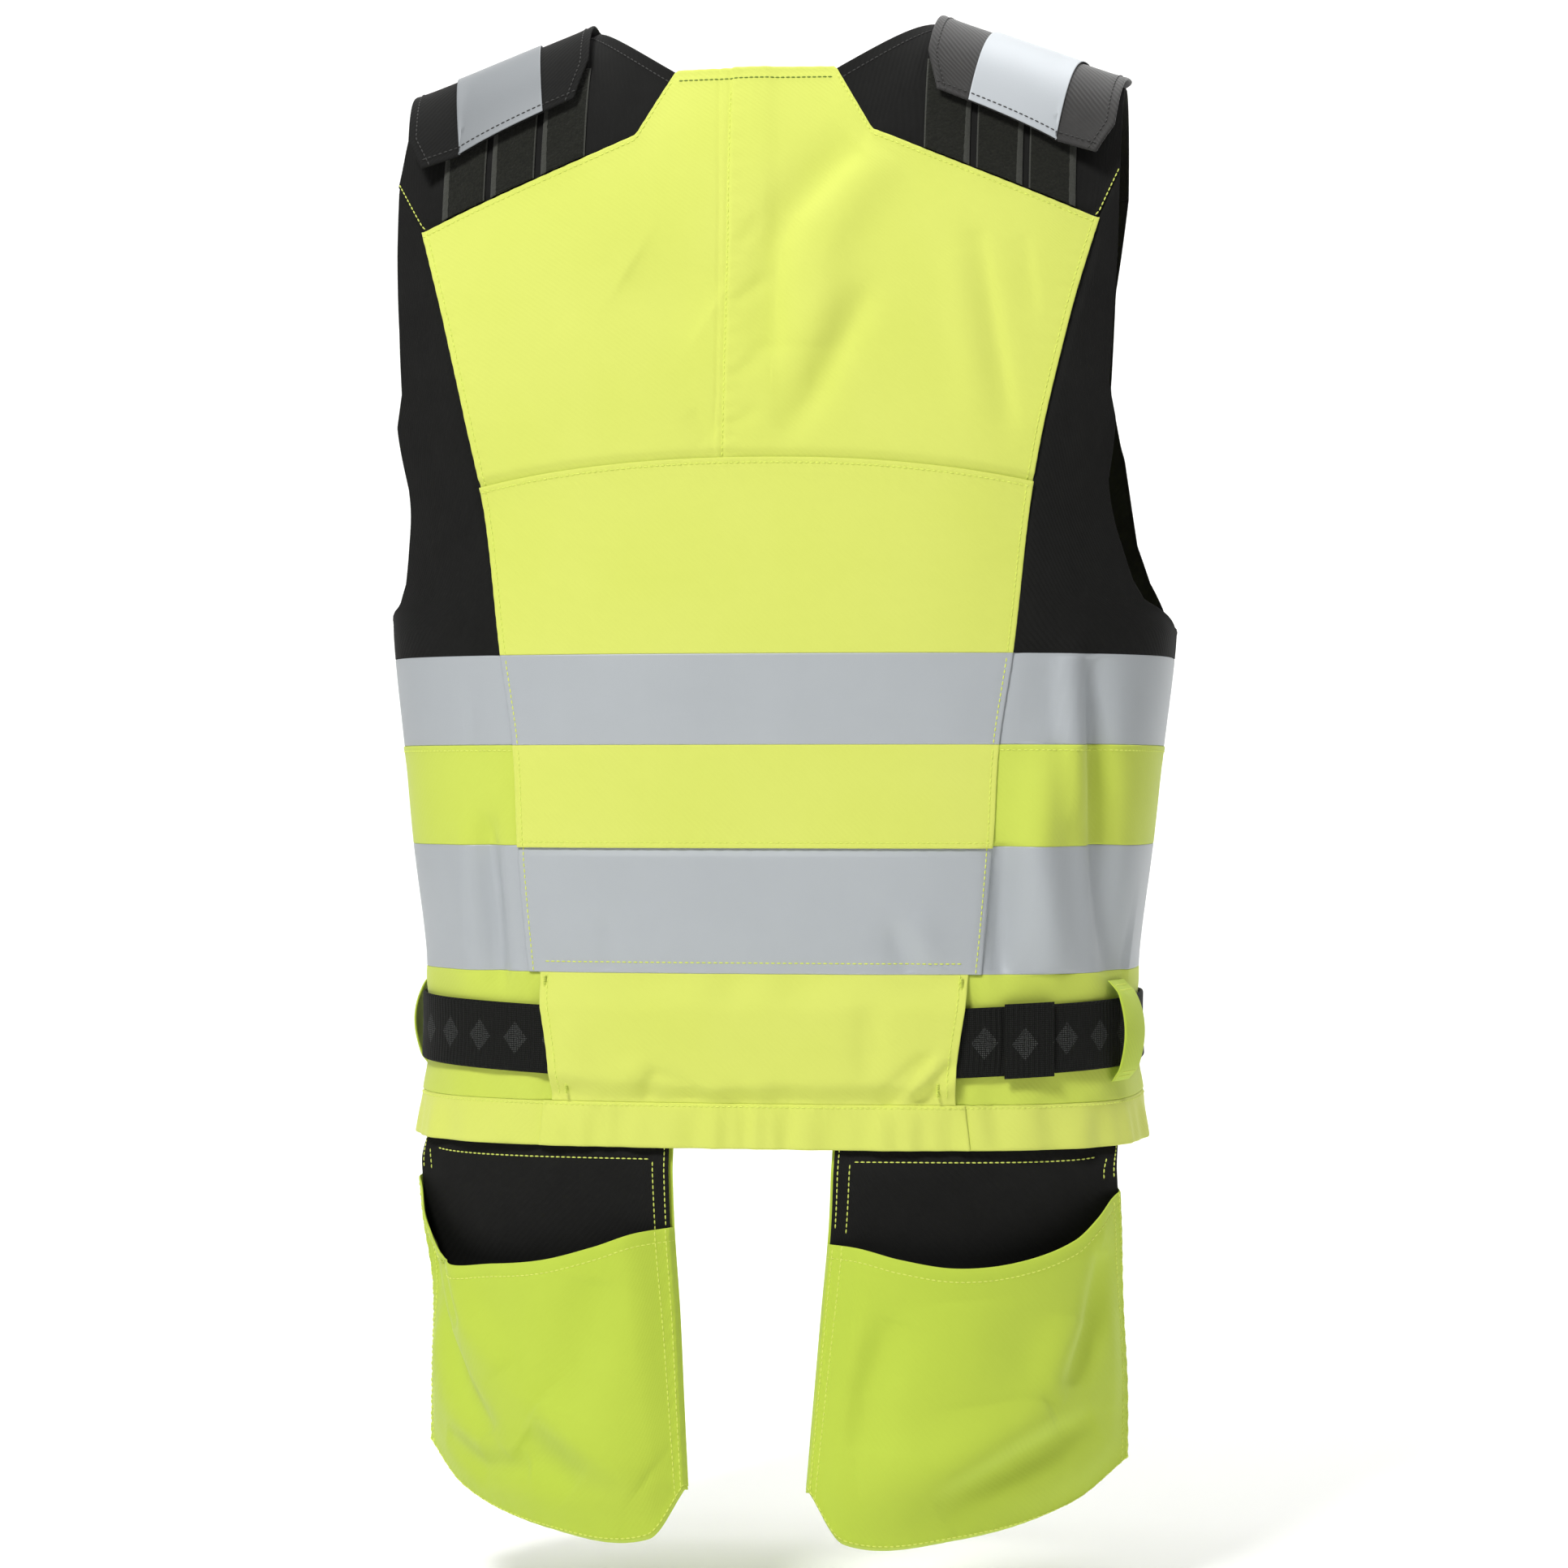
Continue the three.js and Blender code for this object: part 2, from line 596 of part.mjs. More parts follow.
const SIDE_BANDS = [
  { name: 'side_tape_upper', finish: REFLECTIVE, low: TAPE_UPPER_LOW, high: TAPE_UPPER_TOP, us: 14, vs: 2 },
  { name: 'side_strip', finish: HI_VIS, low: TAPE_LOWER_TOP, high: TAPE_UPPER_LOW, us: 14, vs: 2 },
  { name: 'side_tape_lower', finish: REFLECTIVE, low: TAPE_LOWER_LOW, high: TAPE_LOWER_TOP, us: 14, vs: 2 },
  { name: 'side_lower', finish: HI_VIS, low: HEM_TOP, high: TAPE_LOWER_LOW, us: 22, vs: 5 },
  { name: 'side_hem', finish: HI_VIS, low: -VEST_LENGTH, high: HEM_TOP, us: 22, vs: 2 },
];

/** Armhole edge as shell coordinates, read from the table; out fades away towards the armpit. */
const armhole = (table, behind, out = 0) => table.map((row) => {
  const fade = 1 - THREE.MathUtils.smoothstep(row.down, 0.39, 0.5);
  return at(row.half * CHEST_HALF + out * fade, -row.down * VEST_LENGTH, behind);
});

const sideTurn = Math.PI / 2;
const sideSeam = [
  [sideTurn, rise(TAPE_UPPER_TOP)],
  [sideTurn, rise(ARMPIT_LEVEL)],
];
const frontYokeEnd = at(FRONT_YOKE_OUTER, FRONT_YOKE_LEVEL, false);
const frontArmhole = edge([...sideSeam, ...armhole(ARMHOLE_FRONT, false), frontYokeEnd]);
const zipTop = at(ZIP_WIDTH / 2, ZIP_TOP, false);
const neckline = NECKLINE.map((row) => at(row.half * FRONT_YOKE_INNER, row.down * ZIP_TOP, false));
const frontNeck = at(FRONT_YOKE_INNER, FRONT_YOKE_LEVEL, false);
const zipLow = [turnAt(ZIP_WIDTH / 2, TAPE_UPPER_TOP, false), rise(TAPE_UPPER_TOP)];
const frontInner = edge([zipLow, zipTop, ...neckline, frontNeck]);

for (const { name, side, out } of SIDES) {
  for (const band of SIDE_BANDS) {
    const lift = band.finish === REFLECTIVE ? proud : () => 0;
    const wall = band.name === 'side_hem' ? HEM_WALL : CLOTH;
    const patch = sideBand(band.low, band.high);
    panel(`${band.name}_${name}`, band.finish, patch, stations(band.us), stations(band.vs), { side, lift, wall });
  }

  // Black side panel behind the armhole and black chest panel before it.
  const endHalf = YOKE_END_HALF + out;
  const yokeEnd = at(endHalf, YOKE_END_LEVEL);
  const backArmhole = edge([...sideSeam, ...armhole(ARMHOLE_BACK, true, out), yokeEnd]);
  const sidePatch = between(
    levelEdge(tapeEndTurn, sideTurn, TAPE_UPPER_TOP),
    (u) => at(mix(YOKE_CORNER_HALF, endHalf, u), mix(YOKE_CORNER_LEVEL, YOKE_END_LEVEL, u)),
    seamEdge(TAPE_UPPER_TOP, YOKE_CORNER_LEVEL),
    backArmhole,
  );
  panel(`side_panel_${name}`, BLACK_CLOTH, sidePatch, stations(6), stations(13, backArmhole.marks), { side });
  const frontPatch = between(
    levelEdge(sideTurn, zipLow[0], TAPE_UPPER_TOP),
    (u) => at(mix(FRONT_YOKE_OUTER, FRONT_YOKE_INNER, u), FRONT_YOKE_LEVEL, false),
    frontArmhole,
    frontInner,
  );
  panel(`front_panel_${name}`, BLACK_CLOTH, frontPatch, stations(7), stations(11, frontArmhole.marks), { side });

  // Yoke over the shoulder, from the back seam to the front one.
  const yokeKink = (YOKE_KINK_HALF - NECK_HALF) / (endHalf - NECK_HALF);
  const yokeCorner = (YOKE_CORNER_HALF - NECK_HALF) / (endHalf - NECK_HALF);
  const yokePatch = (u, v) => {
    const x = mix(NECK_HALF, endHalf, u);
    const cornerLevel = mix(YOKE_CORNER_LEVEL, YOKE_END_LEVEL, (u - yokeCorner) / (1 - yokeCorner));
    const z = u <= yokeCorner ? yokeSeamLevel(x) : cornerLevel;
    const ridge = mix(RIDGE_INNER, RIDGE_OUTER, u);
    const ease = 1 - Math.max(1 - v / 0.6, 0) ** NECK_EASE;
    if (v <= 0.6) return [mix(x, ridge, ease), mix(swingAt(x, z), Math.PI / 2, v / 0.6)];
    const front = mix(FRONT_YOKE_INNER, FRONT_YOKE_OUTER, u);
    const share = (v - 0.6) / 0.4;
    return [mix(ridge, front, share), mix(Math.PI / 2, swingAt(front, FRONT_YOKE_LEVEL, false), share)];
  };
  const crest = { side: 1, surface: crestPoint };
  const mirrored = (lift, over = overCrest) => (x, swing, at0) => over(side * x, swing, lift + at0);
  const yokeShares = stations(9, [yokeKink, yokeCorner, (1 + yokeCorner) / 2]);
  panel(`shoulder_yoke_${name}`, BLACK_CLOTH, yokePatch, yokeShares, stations(12, [0.6]), {
    ...crest,
    on: mirrored(0),
  });

  // Loop strips from under the flap down to the yoke seam.
  for (const strip of LOOP_STRIPS) {
    const middle = strip.at * CHEST_HALF;
    const stripPatch = (u, v) => {
      const x = middle + (u - 0.5) * STRIP_WIDTH;
      const foot = yokeSeamLevel(x) + 3;
      return [x, mix(swingAt(x, foot), (FLAP.backInner + STRIP_TUCK) * (Math.PI / 180), v)];
    };
    panel(`loop_strip_${strip.name}_${name}`, LOOP_TAPE, stripPatch, stations(2), stations(3), {
      ...crest,
      wall: STRIP_WALL,
      on: mirrored(STRIP_GAP + STRIP_WALL),
    });
  }

  // Flap folded over the shoulder ridge and the reflective tape round its middle.
  const flapBase = STRIP_GAP + LAYER_GAP + STRIP_WALL + CLOTH;
  const swingOf = (v, x) => {
    const share = (x / CHEST_HALF - FLAP.innerLow) / (FLAP.outerLow - FLAP.innerLow);
    return mix(mix(FLAP.backInner, FLAP.backOuter, share), FLAP.front, v) * (Math.PI / 180);
  };
  const lean = (v) => clamp((90 - mix(FLAP.backInner, FLAP.front, v)) / (90 - FLAP.backInner), 0, 1);
  const edges = (row, v) => [
    CHEST_HALF * mix(row.innerTop, row.innerLow, lean(v)),
    CHEST_HALF * mix(row.outerTop, row.outerLow, lean(v)),
  ];
  const flapPatch = (u, v) => {
    const [inner, outer] = edges(FLAP, v);
    const cut = Math.max(0, FLAP_CORNER - v) * (outer - inner) * 0.55;
    const x = mix(inner + cut, outer - cut, u);
    return [x, swingOf(v, x)];
  };
  // The back edge stands away a little; the front end comes down on to the yoke where it is sewn.
  const flare = (u, v) => FLAP_FLARE * (1 - v) ** 2
    - (STRIP_GAP + STRIP_WALL) * THREE.MathUtils.smoothstep(v, 0.5, 0.9);
  panel(`shoulder_flap_${name}`, BLACK_CLOTH, flapPatch, stations(6), stations(9, [FLAP_CORNER]), {
    ...crest,
    lift: flare,
    on: mirrored(flapBase, overFlap),
  });
  const tapePatch = (u, v) => {
    const [inner, outer] = edges(FLAP_TAPE, v);
    const x = mix(inner, outer, u);
    return [x, swingOf(v, x)];
  };
  panel(`flap_tape_${name}`, REFLECTIVE, tapePatch, stations(3), stations(9, [FLAP_CORNER]), {
    ...crest,
    lift: flare,
    wall: TAPE_WALL,
    on: mirrored(flapBase + STRIP_GAP + TAPE_WALL, overFlap),
  });
}

// Plain zip down the middle of the front.
const zipPatch = (u, v) => {
  const z = mix(-VEST_LENGTH, ZIP_TOP - 6, v);
  const [turn, up] = at(ZIP_WIDTH / 2, z, false);
  return [mix(turn, 2 * Math.PI - turn, u), up];
};
panel('front_zip', PLASTIC, zipPatch, stations(2), stations(14), { wall: ZIP_WALL, lift: () => 0.6 });

// Webbing belt round the waist, with its free end doubled at the back and a plain clasp in front.
const beltSag = (turn) => (Math.cos(turn) > 0 ? BELT_SAG * Math.cos(turn) ** 2 : 0);
const beltPatch = (fromTurn, toTurn, width = BELT_WIDTH) => (u, v) => {
  const turn = mix(fromTurn, toTurn, u);
  return [turn, rise(BELT_LEVEL - beltSag(turn) + (v - 0.5) * width)];
};
const claspTurn = Math.PI - CLASP_WIDTH / 2 / FRONT_DEPTH;
panel('belt_webbing', WEBBING, beltPatch(-claspTurn, claspTurn), stations(60), stations(1), {
  wall: BELT_WALL,
  lift: () => BELT_LIFT + BELT_WALL,
  on: onPlainShell,
});
const claspPatch = beltPatch(claspTurn, 2 * Math.PI - claspTurn, BELT_WIDTH * 1.15);
panel('belt_clasp', PLASTIC, claspPatch, stations(4), stations(1), {
  wall: CLASP_WALL,
  lift: () => BELT_LIFT + CLASP_WALL,
  on: onPlainShell,
});
const endFrom = turnAt(FREE_END_INNER, BELT_LEVEL);
const endTo = turnAt(FREE_END_OUTER, BELT_LEVEL);
panel('belt_free_end', WEBBING, beltPatch(endFrom, endTo, BELT_WIDTH + 3), stations(3), stations(1), {
  wall: BELT_WALL,
  lift: () => BELT_LIFT + 2 * BELT_WALL + LAYER_GAP,
  on: onPlainShell,
});

// Cloth loops that hold the webbing to the sides.
for (const loop of BELT_LOOPS) {
  const middle = loop.turn * (Math.PI / 180);
  const half = LOOP_WIDTH / 2 / CHEST_HALF;
  const loopPatch = (u, v) => [
    middle + (2 * u - 1) * half,
    rise(BELT_LEVEL + (v - 0.5) * LOOP_HEIGHT),
  ];
  const foot = STRIP_GAP + LOOP_WALL;
  const clear = BELT_LIFT + BELT_WALL + LOOP_WALL + LAYER_GAP;
  const bulge = (u, v) => Math.max(foot, Math.min(clear, foot + 30 * Math.min(v, 1 - v)))
    + loop.stand * Math.sin(Math.PI * v);
  panel(loop.name, LINING, loopPatch, stations(3), stations(10), {
    side: loop.side,
    wall: LOOP_WALL,
    lift: bulge,
  });
}

/** Point of a pocket sheet, by the share across from its inner edge and its drop below the hem. */
function pocketPoint(across, drop) {
  const down = drop / POCKET_LENGTH;
  const inner = track(POCKET_EDGES, 'inner', down, 'drop') * CHEST_HALF;
  const outer = track(POCKET_EDGES, 'outer', down, 'drop') * CHEST_HALF;
  const innerY = track(POCKET_EDGES, 'innerY', down, 'drop') * BACK_DEPTH;
  const outerY = track(POCKET_EDGES, 'outerY', down, 'drop') * BACK_DEPTH;
  const x = mix(inner, outer, across);
  const y = mix(innerY, outerY, Math.abs(across) ** 2.4);
  return new THREE.Vector3(x, y, POCKET_TOP - drop);
}

const footDrop = (across) => POCKET_LENGTH * track(POCKET_FOOT, 'drop', across, 'across');
const onPocket = draped((across, drop) => pocketPoint(across, drop), false);

/** Height of the pouch cloth's outer face over the black panel. */
function pouchStand(across, v) {
  const fullness = (1 - Math.abs(2 * across - 1) ** 3) ** 0.6;
  const fall = Math.sin(Math.PI * clamp(0.34 + 0.66 * v, 0, 1)) ** 0.55;
  let sag = 0;
  for (const fold of POUCH_SAGS) {
    sag += fold.high * FOLD_DEPTH * bell((across - fold.at - fold.lean * v) / fold.wide);
  }
  return LAYER_GAP + POUCH_WALL + fullness * fall * (POUCH_STAND + sag * Math.sin(Math.PI * v));
}

/** Pocket sheet between two drops, mirrored for the left side. */
function pocketSheet(name, finish, side, us, vs, low, high, height, wall, spread = 0) {
  const place = (u, v, face) => {
    const across = mix(-spread, 1, u);
    const drop = mix(low(across), high(across), v);
    const shift = height(across, 1 - v) - face * wall;
    const point = onPocket(across, drop, -shift);
    return new THREE.Vector3(side * point.x, point.y, point.z);
  };
  addPiece(name, clothSolid(us, vs, place), finish);
}

// Hip pockets: a backing sheet, a black panel and a full yellow pouch with a scooped mouth.
for (const { name, side } of SIDES) {
  const mouth = (across) => POCKET_LENGTH * track(MOUTH, name, clamp(across, 0, 1), 'across');
  const mouthShares = stations(10, [0.9, 0.95]);
  pocketSheet(
    `pocket_panel_${name}`,
    BLACK_CLOTH,
    side,
    mouthShares,
    stations(8),
    footDrop,
    () => 0,
    () => 0,
    POCKET_WALL,
  );
  pocketSheet(
    `pocket_backing_${name}`,
    LINING,
    side,
    stations(10),
    stations(8),
    (across) => footDrop(clamp(across, 0, 1)) - 2,
    () => 6,
    () => -POCKET_WALL - BACKING_GAP,
    BACKING_WALL,
    0.012,
  );
  pocketSheet(
    `pocket_pouch_${name}`,
    LINING,
    side,
    mouthShares,
    stations(10),
    (across) => footDrop(across) - 1,
    mouth,
    (across, v) => pouchStand(across, v),
    POUCH_WALL,
  );
}

export default vest;
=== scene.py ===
import math

import bpy
import numpy as np
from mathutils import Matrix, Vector


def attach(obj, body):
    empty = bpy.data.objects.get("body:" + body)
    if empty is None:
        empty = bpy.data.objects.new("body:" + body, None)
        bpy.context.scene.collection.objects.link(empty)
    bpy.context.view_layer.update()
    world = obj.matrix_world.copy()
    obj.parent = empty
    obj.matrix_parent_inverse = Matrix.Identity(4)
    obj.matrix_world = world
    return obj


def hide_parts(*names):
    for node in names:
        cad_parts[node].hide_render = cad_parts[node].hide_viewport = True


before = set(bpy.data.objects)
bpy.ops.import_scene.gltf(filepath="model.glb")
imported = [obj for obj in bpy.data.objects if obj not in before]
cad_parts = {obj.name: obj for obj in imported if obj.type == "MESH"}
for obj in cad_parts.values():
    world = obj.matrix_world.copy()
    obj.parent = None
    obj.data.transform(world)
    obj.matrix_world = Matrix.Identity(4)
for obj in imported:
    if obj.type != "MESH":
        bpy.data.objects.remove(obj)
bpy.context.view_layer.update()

# Camera, backdrop and light
# A studio view from behind and a little to the right, level with the waist. The floor is a pale
# paper sweep that curves up behind. A soft box at the upper left lights the vest, a small one lights
# the right shoulder, and a wide one washes the paper.
SIGHT_DISTANCE, SIGHT_YAW, SIGHT_LEVEL, SIGHT_LENS = 2.2, math.radians(8.7), -0.4, 87.2
FLOOR_LEVEL, SWEEP_START, SWEEP_RADIUS, SWEEP_REACH, SWEEP_TOP = -0.86, 1.3, 1.2, 6.0, 5.0
ROOM_LIGHT = 0.17


def linear(colour):
    """Linear RGBA of an sRGB hex colour: each channel goes through the sRGB curve."""
    channels = [int(colour[i:i + 2], 16) / 255 for i in (1, 3, 5)]
    return [c / 12.92 if c <= 0.04045 else ((c + 0.055) / 1.055) ** 2.4 for c in channels] + [1.0]


def node(tree, kind, inputs=(), **settings):
    """Adds one node: settings are its properties, inputs its socket values or what feeds them."""
    made = tree.nodes.new(kind)
    for key, value in settings.items():
        setattr(made, key, value)
    for key, value in dict(inputs).items():
        if isinstance(value, bpy.types.NodeSocket):
            tree.links.new(value, made.inputs[key])
        else:
            made.inputs[key].default_value = value
    return made


def new_material(name):
    """A material with its tree, its texture coordinates and its surface output."""
    material = bpy.data.materials.new(name)
    material.use_nodes = True
    tree = material.node_tree
    tree.nodes.clear()
    return material, tree, node(tree, "ShaderNodeTexCoord"), node(tree, "ShaderNodeOutputMaterial")


def grid_faces(rows, columns):
    """Quads of a grid of points stored row by row."""
    start = (np.arange(rows - 1)[:, None] * columns + np.arange(columns - 1)).ravel()
    return np.stack([start, start + 1, start + columns + 1, start + columns], axis=1)


def put_mesh(name, points, faces, material):
    """A shown object at the origin from points in metres."""
    mesh = bpy.data.meshes.new(name)
    mesh.from_pydata(points.tolist(), [], faces.tolist())
    mesh.shade_smooth()
    mesh.materials.append(material)
    piece = bpy.data.objects.new(name, mesh)
    bpy.context.collection.objects.link(piece)
    return piece


camera = bpy.data.objects.new("camera", bpy.data.cameras.new("camera"))
camera.location = (SIGHT_DISTANCE * math.sin(SIGHT_YAW), -SIGHT_DISTANCE * math.cos(SIGHT_YAW), SIGHT_LEVEL)
camera.rotation_euler = (math.pi / 2, 0, SIGHT_YAW)
camera.data.sensor_width = 36
camera.data.lens = SIGHT_LENS
bpy.context.collection.objects.link(camera)
bpy.context.scene.camera = camera

paper, tree, place, out = new_material("studio_paper")
shade = node(tree, "ShaderNodeBsdfDiffuse", {"Color": linear("#fbfbfa")})
tree.links.new(shade.outputs["BSDF"], out.inputs["Surface"])
bend = np.linspace(0, math.pi / 2, 24)
sweep_y = [-SWEEP_REACH, *(SWEEP_START + SWEEP_RADIUS * np.sin(bend)), SWEEP_START + SWEEP_RADIUS]
sweep_z = [FLOOR_LEVEL, *(FLOOR_LEVEL + SWEEP_RADIUS * (1 - np.cos(bend))), SWEEP_TOP]
sweep = np.array([(x, y, z) for y, z in zip(sweep_y, sweep_z) for x in (-SWEEP_REACH, SWEEP_REACH)])
backdrop = put_mesh("studio_backdrop", sweep, grid_faces(len(sweep_y), 2)[:, ::-1], paper)

LIGHTS = (
    # name, place, aim, size, watts
    ("soft_box_front", (-0.75, -2.1, 1.75), (0, 0, -0.35), 0.7, 72),
    ("soft_box_top", (0.9, 0.0, 1.3), (0.15, 0, 0.0), 0.6, 5.0),
    ("backdrop_wash", (0, 0.9, 2.4), (0, 2.6, -0.3), 2.5, 80),
)
for name, place, aim, size, watts in LIGHTS:
    lamp = bpy.data.objects.new(name, bpy.data.lights.new(name, "AREA"))
    lamp.data.size = size
    lamp.data.energy = watts
    lamp.location = place
    lamp.rotation_euler = (Vector(aim) - Vector(place)).to_track_quat("-Z", "Y").to_euler()
    bpy.context.collection.objects.link(lamp)

room = bpy.data.worlds.new("studio_room")
room.use_nodes = True
room.node_tree.nodes["Background"].inputs["Color"].default_value = linear("#ffffff")
room.node_tree.nodes["Background"].inputs["Strength"].default_value = ROOM_LIGHT
bpy.context.scene.world = room
bpy.context.scene.view_settings.view_transform = "Standard"

# The worn form
# The vest is worked out in millimetres on one surface: level sections from the hem to the chest,
# squarer at the shoulder blades, and an arch over each shoulder. +Z is up and the back faces -Y.
CHEST_HALF, BACK_DEPTH, FRONT_DEPTH, CENTRE_Y = 226, 128, 115, 5
VEST_LENGTH, CHEST_LEVEL, HEM_TOP, TAPE_LOWER_LOW = 600, -200, -575, -504
RIDGE_Y, RIDGE_HEIGHT, RIDGE_SLOPE = -40, 62, 0.367
ARCH_POWER, FRONT_POWER, RISE_RADIUS = 2.8, 2.6, 80

# down of VEST_LENGTH, half of CHEST_HALF, back of BACK_DEPTH, front of FRONT_DEPTH, squareness
SECTIONS = np.array([
    (0.333, 0.99, 0.99, 1.0, 4.8),
    (0.4, 0.993, 0.99, 1.0, 3.4),
    (0.45, 0.997, 0.995, 1.0, 3.0),
    (0.525, 1.0, 1.0, 1.0, 2.85),
    (0.64, 0.965, 0.995, 0.99, 3.0),
    (0.72, 0.942, 1.0, 0.98, 3.1),
    (0.84, 0.903, 1.0, 0.96, 3.1),
    (0.93, 0.903, 0.995, 0.96, 3.1),
    (1.0, 0.932, 1.0, 0.98, 3.1),
])

# Folds of the cloth: line through (x, z) points, half-width to its left and right, height (a valley
# is below 0), all in mm. They fade towards both ends of the line.
FOLD_STRENGTH = 1.85
FOLDS = (
    (((58, -50), (44, -62), (33, -74), (22, -87), (15, -104), (13, -124), (12, -165)), 8, 13, -2.8),
    (((76, -56), (60, -72), (46, -92), (36, -120), (34, -160)), 14, 20, 2.2),
    (((65, -130), (48, -162), (34, -189), (18, -208)), 9, 9, -1.8),
    (((52, -118), (34, -150), (20, -178)), 12, 12, 0.9),
    (((124, -98), (132, -142), (143, -206)), 5, 9, -1.5),
    (((150, -102), (156, -145)), 3, 8, -0.6),
    (((112, -110), (118, -150), (124, -200)), 12, 9, 0.8),
    (((-68, -116), (-24, -143)), 22, 18, -2.2),
    (((-110, -150), (-60, -190), (-30, -214)), 16, 16, 0.8),
    (((-34, -196), (-20, -210)), 6, 6, -0.8),
    (((-7, -104), (4, -89)), 3.6, 5.0, -0.5),
    (((-9, -136), (8, -122)), 3.4, 5.6, -0.6),
    (((-10, -178), (11, -158)), 4.0, 6.2, -0.5),
    (((-12, -204), (4, -194)), 3.6, 5.0, -0.45),
    (((78, -478), (83, -492), (88, -503)), 8, 7, -1.3),
    (((92, -470), (99, -500)), 9, 9, 0.8),
    (((-79, -474), (-79, -503)), 4, 5, -0.7),
    (((-152, -420), (-148, -470), (-144, -512)), 5, 7, -4.6),
    (((-166, -420), (-162, -505)), 8, 8, 1.4),
    (((-163, -350), (-161, -384)), 4, 4, -0.9),
    (((161, -378), (156, -433), (163, -504)), 12, 12, 5.2),
    (((139, -432), (136, -504)), 6, 7, -4.2),
    (((186, -330), (190, -433), (195, -506)), 8, 6, -5.6),
    (((172, -330), (175, -420)), 8, 6, 4.0),
    (((112, -551), (92, -573)), 3.5, 4, -2.0),
    (((106, -549), (84, -574)), 4, 4, 1.2),
    (((99, -548), (72, -575)), 4, 5, -1.8),
    (((-59, -571), (-51, -561), (-27, -569)), 4, 5, -1.9),
    (((-70, -560), (-56, -553)), 7, 7, 1.1),
    (((67, -520), (65, -560)), 8, 8, -1.3),
    (((-100, -530), (-96, -566)), 9, 9, 0.9),
    (((-150, -580), (-140, -600)), 7, 7, 1.3),
    (((150, -577), (158, -600)), 6, 7, 1.4),
    (((132, -574), (137, -598)), 5, 5, -1.2),
)


def mix(low, high, share):
    return low + (high - low) * share


def smooth(low, high, value):
    """Eased step from 0 at low to 1 at high."""
    t = np.clip((value - low) / (high - low), 0, 1)
    return t * t * (3 - 2 * t)


def bell(t):
    return np.exp(-t * t)


def track(table, column, at):
    """Smooth curve through a column: cubic pieces whose slopes are those of the neighbouring rows."""
    keys, values = table[:, 0], table[:, column]
    rows = np.arange(len(keys))
    before, after = np.maximum(rows - 1, 0), np.minimum(rows + 1, len(keys) - 1)
    slopes = (values[after] - values[before]) / (keys[after] - keys[before])
    row = np.clip(np.searchsorted(keys, at) - 1, 0, len(keys) - 2)
    span = keys[row + 1] - keys[row]
    t = np.clip((at - keys[row]) / span, 0, 1)
    held = mix(values[row], values[row + 1], t * t * (3 - 2 * t))
    return held + span * t * (1 - t) * (slopes[row] * (1 - t) - slopes[row + 1] * t)


def section(z, behind):
    """Half-width, depth and squareness of the level section, from the table."""
    down = np.maximum(-z, -CHEST_LEVEL) / VEST_LENGTH
    depth = np.where(behind, track(SECTIONS, 2, down) * BACK_DEPTH, track(SECTIONS, 3, down) * FRONT_DEPTH)
    power = np.where(behind, track(SECTIONS, 4, down), FRONT_POWER)
    return track(SECTIONS, 1, down) * CHEST_HALF, depth, power


def depth_at(x, z, behind=True):
    """Depth of the level section at x from CENTRE_Y: a superellipse."""
    half, depth, power = section(np.asarray(z, float), behind)
    return depth * (1 - np.minimum(np.abs(x) / half, 1) ** power) ** (1 / power)


def turn_at(x, z, behind=True):
    """Turn from centre back, about the upright middle line, of the point at distance x."""
    depth = depth_at(x, z, behind)
    return np.arctan2(np.abs(x), depth if behind else -depth)


def ridge_at(x):
    return RIDGE_HEIGHT - RIDGE_SLOPE * np.abs(x)


def arch_point(x, y, swing):
    """Shoulder arch over x: a superellipse in the y-z plane, level at swing 0, on the ridge at 90."""
    reach = y - RIDGE_Y
    climb = ridge_at(x) - CHEST_LEVEL
    level, rise = np.maximum(np.cos(swing), 0), np.sin(swing)
    radius = ((level / np.abs(reach)) ** ARCH_POWER + (rise / climb) ** ARCH_POWER) ** (-1 / ARCH_POWER)
    return np.stack([x, RIDGE_Y + np.sign(reach) * radius * level, CHEST_LEVEL + radius * rise], -1)


def shell_point(turn, rise):
    """Shell by turn from centre back and rise above chest level; above it the arch takes over."""
    z = CHEST_LEVEL + np.minimum(rise, 0)
    half, depth, power = section(z, np.cos(turn) > 0)
    wide, deep = np.abs(np.sin(turn)) / half, np.abs(np.cos(turn)) / depth
    radius = (wide ** power + deep ** power) ** (-1 / power)
    x, y = radius * np.sin(turn), CENTRE_Y - radius * np.cos(turn)
    high = arch_point(x, y, np.clip(rise / RISE_RADIUS, 0, math.pi / 2))
    return np.where((rise > 0)[..., None], high, np.stack([x, y, z], -1))


def crest_point(x, swing, flat=CHEST_HALF):
    """Shell over the shoulder by distance x and swing: the back up to 90 degrees, then the front."""
    behind = swing <= math.pi / 2
    span = np.minimum(np.abs(x), flat)
    back_y, front_y = CENTRE_Y - depth_at(span, CHEST_LEVEL), CENTRE_Y + depth_at(span, CHEST_LEVEL, False)
    return arch_point(x, np.where(behind, back_y, front_y), np.where(behind, swing, math.pi - swing))


def swing_at(x, z, behind=True):
    """Swing over the shoulder of the point at distance x and level z."""
    depth = depth_at(x, CHEST_LEVEL, behind)
    reach = np.abs((CENTRE_Y - depth if behind else CENTRE_Y + depth) - RIDGE_Y)
    share = np.clip((z - CHEST_LEVEL) / (ridge_at(x) - CHEST_LEVEL), 0, 1)
    swing = np.arctan2(z - CHEST_LEVEL, reach * (1 - share ** ARCH_POWER) ** (1 / ARCH_POWER))
    return swing if behind else math.pi - swing


